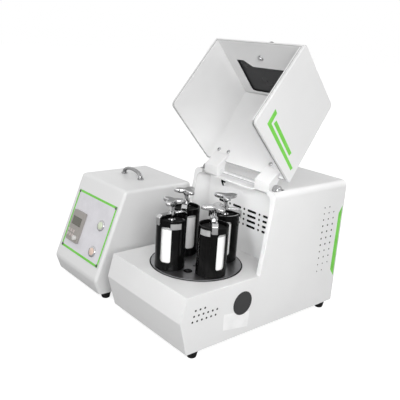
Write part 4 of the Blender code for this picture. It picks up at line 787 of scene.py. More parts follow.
@dataclass(frozen=True)
class PrintFilm(Finish):
    """A printed vinyl film, a little uneven in its colour."""

    first: Point = (0.22, 0.66, 0.11)
    second: Point = (0.18, 0.59, 0.08)

    def written(self, recipe: Recipe) -> bpy.types.Material:
        """Write the finish into a recipe.

        Args:
            recipe: The recipe, still empty.

        Returns:
            The material.
        """
        patches = recipe.noise(22.0, 4.0)
        colour = recipe.mix(patches.span(0.3, 0.7), self.first, self.second)
        return recipe.surface(Base_Color=colour, Roughness=patches.span(0.2, 0.8, 0.38, 0.5),
                              Normal=recipe.relief(recipe.noise(400.0, 2.0), 0.00003, 0.3),
                              Specular_IOR_Level=0.15)


@dataclass(frozen=True)
class LitCap(Finish):
    """A coloured translucent push button cap."""

    colour: Point = (0.1, 0.5, 0.1)

    def written(self, recipe: Recipe) -> bpy.types.Material:
        """Write the finish into a recipe.

        Args:
            recipe: The recipe, still empty.

        Returns:
            The material.
        """
        cloud = recipe.noise(300.0, 3.0)
        colour = recipe.mix(cloud, self.colour, [min(part * 1.3 + 0.02, 1.0) for part in self.colour])
        return recipe.surface(Base_Color=colour, Roughness=cloud * 0.1 + 0.18, Coat_Weight=0.6,
                              Normal=recipe.relief(cloud, 0.00003, 0.3))


class Coat(Enum):
    """Every finish on the object."""

    WHITE = PowderCoat("white_powder_coat", (0.78, 0.78, 0.78))
    # The same white powder coat made lighter, as painted light for the shaded chamber; the trays and the
    # mechanism plate take it too.
    WHITE_PAINTED_LIGHTER = PowderCoat("white_coat_painted_lighter", (0.90, 0.90, 0.90), 0.36)
    BLACK = GlossBlack("black_enamel")
    CHROME = Chrome("chrome_plating")
    DARK_CHROME = Chrome("dark_handle_plating", 0.34)
    BRIGHT = Chrome("bright_screw_plating", 0.55)
    # Chrome made far brighter than the rest, as a painted highlight, so that the hinge shaft reads white.
    CHROME_PAINTED_BRIGHTER = Chrome("chrome_painted_brighter", 0.95)
    SEAL = Moulding("grey_seal", (0.09, 0.09, 0.09), 0.6, 300.0, 0.12)
    STEEL = MachinedSteel("machined_steel")
    DARK_STEEL = MachinedSteel("dark_steel", 0.16)
    GEAR_STEEL = MachinedSteel("gear_steel", 0.30)
    JAR = JarCeramic("white_jar")
    JAR_LID = Moulding("grey_jar_lid", (0.50, 0.50, 0.50), 0.45)
    RUBBER = Moulding("black_rubber", (0.012, 0.012, 0.012), 0.7, 300.0, 0.12)
    BELT = Moulding("belt_rubber", (0.02, 0.02, 0.02), 0.8, 220.0, 0.12)
    # Near-black fill set into vent openings as painted shade; the lid switch's hook is black in its own right
    # and takes it too.
    SCREEN = Moulding("painted_vent_shade_and_black_hook", (0.006, 0.006, 0.006), 0.8, 300.0, 0.05)
    PLUG = Moulding("grey_plug", (0.050, 0.050, 0.051), 0.48, 500.0, 0.15)
    MOTOR = Moulding("motor_paint", (0.035, 0.05, 0.07), 0.4, 260.0)
    INVERTER = Moulding("inverter_case", (0.22, 0.22, 0.23), 0.5)
    KEYPAD = Moulding("keypad_housing", (0.34, 0.29, 0.275), 0.4)
    PALE_KEY = Moulding("pale_key", (0.56, 0.50, 0.48), 0.4)
    DIAL = Moulding("dial_plastic", (0.70, 0.69, 0.67), 0.35)
    LABEL = Moulding("bare_white_plate", (0.91, 0.91, 0.91), 0.42)
    # Matte grey: the bare tags' own colour, and painted shade on the hinge ear bushes, where the shaft's ends
    # lie in shadow.
    TAG = Moulding("bare_grey_plate_and_painted_bush_shade", (0.33, 0.33, 0.33), 0.35)
    FASCIA = Moulding("fascia_film", (0.74, 0.73, 0.765), 0.42)
    GLASS = LitCap("display_glass", (0.055, 0.052, 0.032))
    PANE = SmokedPane("smoked_acrylic")
    GREEN = PrintFilm("green_film")
    GREEN_LAMP = LitCap("green_lamp", (0.56, 0.62, 0.47))
    RED_LAMP = LitCap("red_lamp", (0.66, 0.49, 0.41))

    def material(self) -> bpy.types.Material:
        """Give the finish's material."""
        return self.value.material()


# Fasteners and feet

def screw_head(radius: float, height: float) -> Form:
    """Make a domed screw head with a hexagon socket, its seat at nought."""
    head = Form.turned([(0, -height / 3), (radius, -height / 3), (radius, height * 0.45),
                        (radius * 0.9, height * 0.75), (radius * 0.68, height), (0, height)], 32)
    return head.carved(Form.plate(hexagon(radius * 0.42), height * 0.4, height * 1.5))


def panel_screws(place: Matrix, depth: float, spots: Iterable[Point]) -> Form:
    """Make the small screws of a unit's back panel, one at each x and z."""
    head = screw_head(*PANEL_SCREW)
    return head.repeated(place @ shift(x, depth - PANEL_INSET, z) @ rotate(-90, "X") for x, z in spots)


@dataclass
class FootSet:
    """Four tapered rubber feet under a floor tray."""

    width: float
    depth: float
    middle: float = 0.0
    top_radius: float = 0.014
    toe_radius: float = 0.011
    inset_side: float = 0.014
    inset_front: float = 0.028
    inset_back: float = 0.033

    def form(self) -> Form:
        """Make the feet with their tops at nought.

        Returns:
            The new form.
        """
        top, toe, low = self.top_radius, self.toe_radius, -FOOT_HEIGHT
        profile = [(0, 0.001), (toe, 0.001), (toe, -GAP), (top - 0.001, -GAP), (top, -0.0012), (top, -0.003),
                   (top - 0.0008, -0.006), (toe + 0.0006, low + 0.004), (toe, low + 0.0016),
                   (toe - 0.0015, low), (toe * 0.45, low), (toe * 0.4, low + 0.0015), (0, low + 0.0015)]
        return Form.turned(profile, 40).repeated(
            shift(self.middle + side * (self.width / 2 - self.inset_side), y, 0)
            for side in (-1, 1) for y in (self.inset_front, self.depth - self.inset_back))


# The mill

class Vent(Enum):
    """The sizes of the dark discs of painted shade in the side vents, as shares of a plain one."""

    PLAIN = 1.0
    WIDE = 1.2
    FINE = 0.8


@dataclass
class Housing:
    """The mill's sheet housing with its tray, feet, plug, prints and hinge shaft."""

    nodes: dict[str, bpy.types.Object]
    width: float = 0.300
    depth: float = 0.515
    height: float = 0.3425
    sheet: float = 0.002
    nose: Point = (-0.022, 0.082)
    deck_edge: Point = (-0.007, 0.141)
    fold: float = 0.0017
    shortest_fold: float = 0.012
    tray_edge: float = 0.0008
    lip_cut: tuple[Point, Point] = ((-0.12, 0.240, 0.3345), (0.12, 0.252, 0.345))
    screw_inset: float = 0.012
    screw_low: float = 0.018
    screw_drop: float = 0.022
    plug_centre: Point = (0.1645, 0.084)
    plug_radius: float = 0.030
    plug_bore: float = 0.027
    plug_depth: float = 0.0032
    shaft_chamfer: float = 0.0008
    bush_radius: float = 0.0118
    bush_half_length: float = 0.0057
    bush_chamfer: float = 0.0004
    bush_reach: float = 0.12735
    vent: float = 0.0022
    front_vent: Point = (0.0195, 0.105)
    front_vent_pitch: Point = (0.0136, 0.0133)
    front_vent_lean: float = 0.0038
    front_vent_counts: tuple[int, ...] = (3, 6, 6)
    back_vent_columns: tuple[tuple[float, int, int], ...] = ((0.4355, 0, 11), (0.455, 0, 11), (0.475, 1, 9))
    back_vent_low: float = 0.1025
    back_vent_pitch: float = 0.0192
    back_vent_tightening: float = 0.008
    # How far the dark fills of painted shade stand proud of a face, and how deep the chamber's fills run.
    shade_proud: float = 0.00005
    shade_depth: float = 0.003
    chamber_back: float = 0.290015
    slot_rows: tuple[float, ...] = (0.2575, 0.2438, 0.2301, 0.2164)
    slot_x: tuple[float, ...] = (-0.0775, -0.0225, 0.0325, 0.0875)
    slot_half: float = 0.0155
    slot_end: float = 0.003132
    dot_x: tuple[float, ...] = (-0.050, 0.005, 0.060)
    hook: tuple[Point, ...] = ((-0.0820, 0.3165), (-0.0672, 0.3145), (-0.0672, 0.3110), (-0.0752, 0.3122),
                               (-0.0710, 0.3020), (-0.0748, 0.3020), (-0.0820, 0.3122))
    hook_front: float = 0.2808
    hook_back: float = 0.283
    film: float = 0.00015
    stripe: tuple[Point, ...] = ((0.494, 0.095), (0.510, 0.074), (0.510, 0.275), (0.497, 0.255))
    label: tuple[Point, ...] = ((0.1065, 0.0708), (0.1899, 0.0561), (0.1873, 0.0166), (0.1071, 0.029))

    def build(self) -> None:
        """Build and dress every piece."""
        shell = Form.copy_of(self.nodes["housing_shell"]).bevelled(self.fold, 3, self.on_fold)
        shell.piece("housing_skin", Coat.WHITE, "housing_shell", smooth=50)
        lining = Form.copy_of(self.nodes["chamber_liner"])
        lining.carved(Form.block(*self.lip_cut).moved(MILL_PLACE))
        lining.piece("chamber_lining", Coat.WHITE_PAINTED_LIGHTER, "chamber_liner", smooth=35)
        self.rear()
        self.tray()
        feet = FootSet(self.width, self.depth).form()
        feet.moved(MILL_PLACE).piece("mill_rubber_feet", Coat.RUBBER, "base_pan")
        self.plug()
        self.shaft()
        self.side_vent_shade()
        self.chamber_vent_shade_and_hook()
        self.prints()

    def on_fold(self, edge: bmesh.types.BMEdge) -> bool:
        """Tell whether an edge is one of the housing's folds or side seams.

        Args:
            edge: An edge of the housing's mesh, in place.

        Returns:
            Whether it is one.
        """
        ends = [MILL_PLACE.inverted() @ vert.co for vert in edge.verts]
        short = (ends[0] - ends[1]).length < self.shortest_fold
        at_back = all(end.y > self.depth - CLOSE for end in ends)
        at_foot = all(end.z < CLOSE for end in ends)
        if short or at_back or at_foot:
            return False
        if all(abs(abs(end.x) - self.width / 2) < CLOSE for end in ends):
            return True
        return any(all(abs(end.y - y) < CLOSE and abs(end.z - z) < CLOSE for end in ends)
                   for y, z in (self.nose, self.deck_edge))

    def rear(self) -> None:
        """Dress the back panel and put its six screws in."""
        Form.copy_of(self.nodes["rear_panel"]).piece("rear_cover", Coat.WHITE, "rear_panel")
        reach = self.width / 2 - self.screw_inset
        heights = (self.screw_low, self.height / 2, self.height - self.screw_drop)
        spots = [(side * reach, z) for side in (-1, 1) for z in heights]
        panel_screws(MILL_PLACE, self.depth, spots).piece("rear_cover_screws", Coat.BRIGHT, slot="rear_panel")

    def tray(self) -> None:
        """Make the floor tray."""
        side = self.width / 2 - self.sheet - GAP
        front = self.sheet + GAP
        back = self.depth - PANEL_INSET - self.sheet - GAP
        tray = Form.block((-side, front, 0), (side, back, TRAY_HEIGHT)).bevelled(self.tray_edge, 2)
        tray.carved(Form.block((self.sheet - side, front + self.sheet, TRAY_FLOOR),
                               (side - self.sheet, back - self.sheet, 2 * TRAY_HEIGHT)))
        tray.moved(MILL_PLACE).piece("mill_floor_tray", Coat.WHITE_PAINTED_LIGHTER, "base_pan")

    def plug(self) -> None:
        """Make the round cap in the right wall."""
        face = self.width / 2
        inside = face - self.plug_depth
        radius, bore = self.plug_radius, self.plug_bore
        profile = [(0, face + 0.0007), (radius * 0.8, face + 0.0009), (radius - 0.0022, face + 0.0012),
                   (radius - 0.0008, face + 0.0009), (radius, face + GAP), (bore, face + GAP),
                   (bore, inside), (0, inside)]
        place = MILL_PLACE @ shift(0, *self.plug_centre) @ rotate(90, "Y")
        Form.turned(profile, 72).moved(place).piece("belt_side_plug", Coat.PLUG, "side_plug")

    def shaft(self) -> None:
        """Make the hinge shaft, its chrome painted brighter as a highlight, and the bushes on its ears, matte
        grey as painted shade.
        """
        low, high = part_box("hinge_shaft")
        middle = Matrix.Translation((low + high) / 2)
        radius = (high.z - low.z) / 2
        half_length = (high.x - low.x) / 2
        across = rotate(90, "Y")
        shaft = Form.pin(radius, half_length, self.shaft_chamfer)
        shaft.moved(middle @ across).piece("lid_hinge_shaft", Coat.CHROME_PAINTED_BRIGHTER, "hinge_shaft")
        # The bushes are matte grey as painted shade, standing for the shaft's shaded ends.
        bush = Form.pin(self.bush_radius, self.bush_half_length, self.bush_chamfer)
        bushes = bush.repeated(middle @ shift(side * self.bush_reach, 0, 0) @ across for side in (-1, 1))
        bushes.piece("hinge_ear_bushes_in_painted_shade", Coat.TAG, slot="chamber_liner")

    def side_vents(self) -> Iterable[tuple[float, float, Vent]]:
        """Go through the vents in the right side.

        Yields:
            The y, the z and the size of each vent.
        """
        first_y, first_z = self.front_vent
        pitch_y, pitch_z = self.front_vent_pitch
        for row, count in enumerate(self.front_vent_counts):
            for column in range(count):
                yield (first_y - row * self.front_vent_lean + column * pitch_y, first_z - row * pitch_z,
                       Vent.WIDE)
        for y, first, count in self.back_vent_columns:
            for row in range(first, first + count):
                z = self.back_vent_low + row * self.back_vent_pitch * (1 - row * self.back_vent_tightening)
                yield y, z, Vent.FINE if row in (0, 1, 9, 10) else Vent.WIDE if 3 < row < 8 else Vent.PLAIN

    def side_vent_shade(self) -> None:
        """Put dark discs of painted shade into the vents of the right side, just proud of the outside."""
        depth = self.sheet + 0.001
        # Each disc is painted shade for the vent hole it sits in.
        dots = {size: Form.rod(self.vent * size.value, 0, depth, 12).moved(rotate(-90, "Y")) for size in Vent}
        shade_fills = Form()
        for y, z, size in self.side_vents():
            shade_fills.added(dots[size].twin().moved(shift(self.width / 2 + self.shade_proud, y, z)))
        shade_fills.moved(MILL_PLACE).piece("side_vent_painted_shade", Coat.SCREEN, slot="housing_shell")

    def chamber_vent_shade_and_hook(self) -> None:
        """Put dark plates of painted shade into the openings of the chamber's back wall, and the hook of the
        lid switch in front of it.
        """
        front = self.chamber_back - self.shade_proud
        end = self.slot_end
        openings = [(x, self.slot_half) for x in self.slot_x] + [(x, end) for x in self.dot_x]
        # Each plate is painted shade in one opening of the back wall.
        shade_fills = Form()
        for z in self.slot_rows:
            for x, half in openings:
                outline = rounded_rectangle(x - half, z - end, x + half, z + end, end - CLOSE, 4)
                shade_fills.added(Form.plate(outline, front, front + self.shade_depth))
        shade_fills.moved(MILL_PLACE @ FRONTWAYS).closed().piece(
            "chamber_vent_painted_shade", Coat.SCREEN, slot="chamber_liner")
        Form.plate(self.hook, self.hook_front, self.hook_back).moved(MILL_PLACE @ FRONTWAYS).closed().piece(
            "lid_switch_hook", Coat.SCREEN, slot="chamber_liner")

    def prints(self) -> None:
        """Lay the green stripe and the bare white plate on the right wall."""
        face = self.width / 2
        for name, outline, top, coat in (("rear_green_stripe", self.stripe, self.film, Coat.GREEN),
                                         ("bare_side_label", self.label, 3 * self.film, Coat.LABEL)):
            Form.plate(outline, face - CLOSE, face + top).moved(MILL_PLACE @ SIDEWAYS).piece(
                name, coat, slot="housing_shell")


@dataclass
class Drive:
    """The hidden drive parts, which keep their meshes."""

    nodes: dict[str, bpy.types.Object]

    def build(self) -> None:
        """Give each node its finish."""
        for coat, names in (
                (Coat.WHITE_PAINTED_LIGHTER, ("mechanism_plate",)),
                (Coat.GEAR_STEEL, ("ring_gear", *(f"planet_gear_{number}" for number in range(1, 5)))),
                (Coat.STEEL, ("bearing_housing", "main_shaft", "driven_pulley", "motor_pulley",
                              "motor_shaft")),
                (Coat.CHROME, ("lower_bearing", "upper_bearing")),
                (Coat.BELT, ("drive_belt",)), (Coat.MOTOR, ("motor_body",)),
                (Coat.INVERTER, ("inverter_drive",))):
            for name in names:
                mesh = self.nodes[name].data
                mesh.materials.clear()
                mesh.materials.append(coat.material())
                LOG.info("%s keeps its mesh", name)


@dataclass
class Disk:
    """The sun disk with its bolt caps, its small screws and the trim of its opening."""

    centre: Point = (0.003, 0.138)
    radius: float = 0.112
    low: float = 0.131
    top: float = 0.143
    deck: float = 0.141
    orbit: float = 0.073
    first_jar: float = -12.0
    bore: float = 0.0075
    cap_radius: float = 0.0105
    cap_height: float = 0.0026
    cap_orbit: float = 0.065
    cap_angle: float = -57.0
    screw_radius: float = 0.004
    screw_height: float = 0.0014
    screw_orbit: float = 0.0296
    screw_angle: float = -48.0
    trim_gap: float = 0.0004
    trim_width: float = 0.0030
    trim_height: float = 0.0014

    def quarters(self, orbit: float, angle: float, height: float = 0.0) -> list[Matrix]:
        """Give four places round the disk."""
        return [rotate(angle + 90 * quarter, "Z") @ shift(orbit, 0, height) for quarter in range(4)]

    def build(self) -> None:
        """Build and dress every piece."""
        radius, low, top = self.radius, self.low, self.top
        world = MILL_PLACE @ shift(*self.centre, 0)
        steel = TurnedSteel("turned_disk_steel", (world.translation.x, world.translation.y, 0))
        disk = Form.turned([(0, top), (radius - 0.0005, top), (radius, top - 0.0005), (radius, low + 0.001),
                            (radius - 0.001, low), (0, low)], 128)
        bore = Form.rod(self.bore, low - BEYOND, top + BEYOND)
        disk.carved(bore.repeated(self.quarters(self.orbit, self.first_jar)))
        disk.moved(world).piece("sun_disk", steel, "planet_disk", "rotor")
        cap = screw_head(self.cap_radius, self.cap_height)
        caps = cap.repeated(self.quarters(self.cap_orbit, self.cap_angle, top))
        caps.moved(world).piece("disk_bolt_caps", Coat.BLACK, "planet_disk", "rotor")
        screw = screw_head(self.screw_radius, self.screw_height)
        screws = screw.repeated(self.quarters(self.screw_orbit, self.screw_angle, top))
        screws.moved(world).piece("disk_hub_screws", Coat.DARK_STEEL, body="rotor", slot="planet_disk")
        inner = radius + self.trim_gap
        outer = inner + self.trim_width
        crest = self.deck + self.trim_height
        trim = Form.turned([(inner, crest), (outer - 0.0008, crest), (outer, crest - 0.001),
                            (outer, self.deck - CLOSE), (inner, self.deck - CLOSE), (inner, crest)], 128)
        trim.moved(world).piece("deck_edge_trim", Coat.RUBBER, slot="housing_shell")


@dataclass
class JarStation:
    """One jar holder with its jar, lid, clamp bar and hand screw."""

    number: int
    spot: Point
    turn: float
    low: float = 0.1433
    height: float = 0.1225
    radius: float = 0.0365
    wall: float = 0.004
    floor: float = 0.006
    seat_bore: float = 0.0073
    edge: float = 0.0008
    window: tuple[float, float, float, float] = (0.0135, 0.019, 0.108, 0.007)
    slot_drop: float = 0.0135
    slot_height: float = 0.006
    slot_half: float = 0.008
    bar_turn: float = 145.0
    bar_width: float = 0.014
    bar_wall: float = 0.004
    bar_edge: float = 0.0013
    bar_shoulder: float = 0.006
    bar_rise: float = 0.0123
    hook_reach: float = 0.003
    hook_drop: float = 0.0125
    jar_radius: float = 0.0315
    jar_bore: float = 0.027
    seam: float = 0.2433
    jar_top: float = 0.2578
    screw: float = 0.005
    pitch: float = 0.0015
    thread_depth: float = 0.0006
    thread_end: float = 0.004
    foot_radius: float = 0.009
    foot_height: float = 0.003
    knob_low: float = 0.3003
    knob_thickness: float = 0.011
    knob_levels: tuple[Point, ...] = (
        (0.60, 0.0), (0.82, 0.0006), (0.94, 0.0017), (0.985, 0.0030), (1.0, 0.0046), (1.0, 0.0062),
        (0.99, 0.0077), (0.965, 0.0090), (0.92, 0.0100), (0.85, 0.0106), (0.74, 0.0109), (0.55, 0.0110))
    tip: float = 0.0325
    waist: float = 0.0125
    lobe_sharpness: float = 1.4
    neck: float = 0.006
    boss_radius: float = 0.009
    boss_top: float = 0.017
    boss_chamfer: float = 0.0012
    tag_angle: float | None = None
    tag_half: float = 0.0135
    tag_proud: float = 0.0004
    tag_sunk: float = 0.0002
    tag_low: float = 0.2465
    tag_top: float = 0.2605

    def place(self) -> Matrix:
        """Give the station's axis."""
        return shift(*self.spot, FOOT_HEIGHT) @ rotate(self.turn, "Z")

    def build(self) -> None:
        """Build and dress every piece."""
        body = f"jar_station_{self.number}"
        self.add("jar_holder", self.holder(), body, Coat.BLACK, "jar_carrier")
        self.add("jar_pot", self.jar(), body, Coat.JAR, "milling_jar")
        self.add("jar_cover", self.cover(), body, Coat.JAR_LID, "jar_lid")
        self.pressure_disc().moved(self.place()).piece(
            f"jar_pressure_disc_{self.number}", Coat.RUBBER, body=body, slot=f"jar_lid_{self.number}")
        self.add("clamp_yoke", self.yoke(), body, Coat.CHROME, "clamp_bar")
        self.add("clamp_hand_screw", self.hand_screw(), f"clamp_screw_{self.number}", Coat.CHROME,
                 "clamp_knob")
        if self.tag_angle is not None:
            self.tag(math.radians(self.tag_angle)).piece(
                f"bare_tag_{self.number}", Coat.TAG, body=body, slot=f"jar_carrier_{self.number}")

    def add(self, name: str, form: Form, body: str, coat: Coat, node: str) -> None:
        """Put one form in place for this station, under names that take its number."""
        form.moved(self.place()).piece(f"{name}_{self.number}", coat, f"{node}_{self.number}", body)

    def holder(self) -> Form:
        """Make the cup with three tall windows and two slots for the clamp's hooks.

        Returns:
            The new form.
        """
        low, top = self.low, self.low + self.height
        outer, bore = self.radius, self.radius - self.wall
        inner = low + self.floor
        edge, seat = self.edge, self.seat_bore
        cup = Form.turned([(bore, top - edge), (bore + edge, top), (outer - edge, top), (outer, top - edge),
                           (outer, low + edge), (outer - edge, low), (seat, low), (seat, inner),
                           (bore, inner), (bore, top - edge)], 96)
        half, window_low, window_top, corner = self.window
        outline = rounded_rectangle(-half, low + window_low, half, low + window_top, corner)
        windows = Form.plate(outline, bore / 2, outer + BEYOND).repeated(
            rotate(120 * index, "Z") @ SIDEWAYS for index in range(3))
        slot_low = top - self.slot_drop
        slots = Form.block((bore / 2, -self.slot_half, slot_low),
                           (outer + BEYOND, self.slot_half, slot_low + self.slot_height)).repeated(
            rotate(self.bar_turn + side, "Z") for side in (0, 180))
        return cup.carved(windows, slots)

    def jar(self) -> Form:
        """Make the milling jar.

        Returns:
            The new form.
        """
        foot = self.low + self.floor + GAP
        outer = self.jar_radius
        bore = self.jar_bore
        return Form.turned([(0, foot + 0.006), (bore - 0.003, foot + 0.006), (bore, foot + 0.009),
                            (bore, self.seam), (outer, self.seam), (outer, foot + 0.002),
                            (outer - 0.002, foot), (0, foot)], 72)

    def cover(self) -> Form:
        """Make the jar's lid with its spigot and its grooved edge.

        Returns:
            The new form.
        """
        outer = self.jar_radius
        groove = outer - 0.0007
        spigot = self.jar_bore - GAP
        top, seam = self.jar_top, self.seam
        return Form.turned([(0, top - 0.001), (groove, top - 0.001), (outer, top - 0.0017),
                            (outer, seam + 0.0045), (groove, seam + 0.0038), (groove, seam + 0.0026),
                            (outer, seam + 0.002), (outer, seam + GAP), (spigot, seam + GAP),
                            (spigot, seam - 0.004), (0, seam - 0.004)], 72)

    def pressure_disc(self) -> Form:
        """Make the rubber disc on the jar's lid.

        Returns:
            The new form.
        """
        top = self.jar_top
        radius = self.jar_radius - 0.0007
        return Form.turned([(0, top), (radius - 0.0004, top), (radius, top - 0.0005), (radius, top - 0.001),
                            (0, top - 0.001)], 72)

    def yoke(self) -> Form:
        """Make the clamp bar with its two hooks.

        Returns:
            The new form.
        """
        rim = self.low + self.height
        inner = self.radius + GAP
        outer = inner + self.bar_wall
        toe = self.radius - self.hook_reach
        foot = rim - self.hook_drop
        hook = foot + self.bar_wall
        inset = inner - self.bar_wall
        shoulder = rim + self.bar_shoulder
        crest = rim + self.bar_rise
        half_outline = [(-outer, foot), (-toe, foot), (-toe, hook), (-inner, hook), (-inner, rim + GAP)]
        outline = half_outline + [(-x, z) for x, z in reversed(half_outline)]
        outline += [(outer, shoulder), (inset, crest), (-inset, crest), (-outer, shoulder)]
        half = self.bar_width / 2
        bar = Form.plate(outline, -half, half).moved(rotate(90, "X")).bevelled(self.bar_edge, 3)
        top = rim + self.boss_top
        wide, chamfer = self.boss_radius, self.boss_chamfer
        boss = Form.turned([(0, shoulder), (wide, shoulder), (wide, top - chamfer), (wide - chamfer, top),
                            (0, top)], 48)
        bore = Form.rod(self.screw + GAP, rim - BEYOND, top + BEYOND)
        return bar.fused(boss).carved(bore).moved(rotate(self.bar_turn, "Z"))

    def hand_screw(self) -> Form:
        """Make the three-lobed knob on its threaded stem.

        Returns:
            The new form.
        """
        outline = []
        for step in range(96):
            angle = 2 * math.pi * step / 96
            lobe = ((1 + math.cos(3 * angle)) / 2) ** self.lobe_sharpness
            outline.append(polar(self.waist + (self.tip - self.waist) * lobe, angle))
        low = self.knob_low
        knob = Form.stacked(outline, [(scale, low + rise) for scale, rise in self.knob_levels])
        under = self.jar_top + GAP
        neck_low = low - self.neck
        stem_top = low + self.knob_thickness - 0.005
        thread = self.screw
        profile = [(0, stem_top), (thread, stem_top), (thread, neck_low)]
        for turn in range(int((neck_low - under - self.thread_end) / self.pitch)):
            level = neck_low - turn * self.pitch
            profile += [(thread - self.thread_depth, level - self.pitch / 2), (thread, level - self.pitch)]
        wide, foot_top = self.foot_radius, under + self.foot_height
        profile += [(thread, foot_top), (wide, foot_top), (wide, under + 0.0006), (wide - 0.0006, under),
                    (0, under)]
        collar = Form.turned([(0, low + 0.004), (0.0105, low + 0.004), (0.0098, low), (0.0078, low - 0.003),
                              (0.0068, neck_low + 0.001), (0.0063, neck_low), (0, neck_low)], 40)
        return knob.fused(collar, Form.turned(profile, 32))

    def tag(self, angle: float) -> Form:
        """Make the small bare plate on the holder's wall.

        Args:
            angle: The plate's direction from the station's axis.

        Returns:
            The plate in place.
        """
        face = self.radius
        spreads = [(step / 5 - 1) * self.tag_half / face for step in range(11)]
        outline = [polar(face + self.tag_proud, angle + spread) for spread in spreads]
        outline += [polar(face - self.tag_sunk, angle + spread) for spread in reversed(spreads)]
        return Form.plate(outline, self.tag_low, self.tag_top).moved(shift(*self.spot, FOOT_HEIGHT))


# The lid

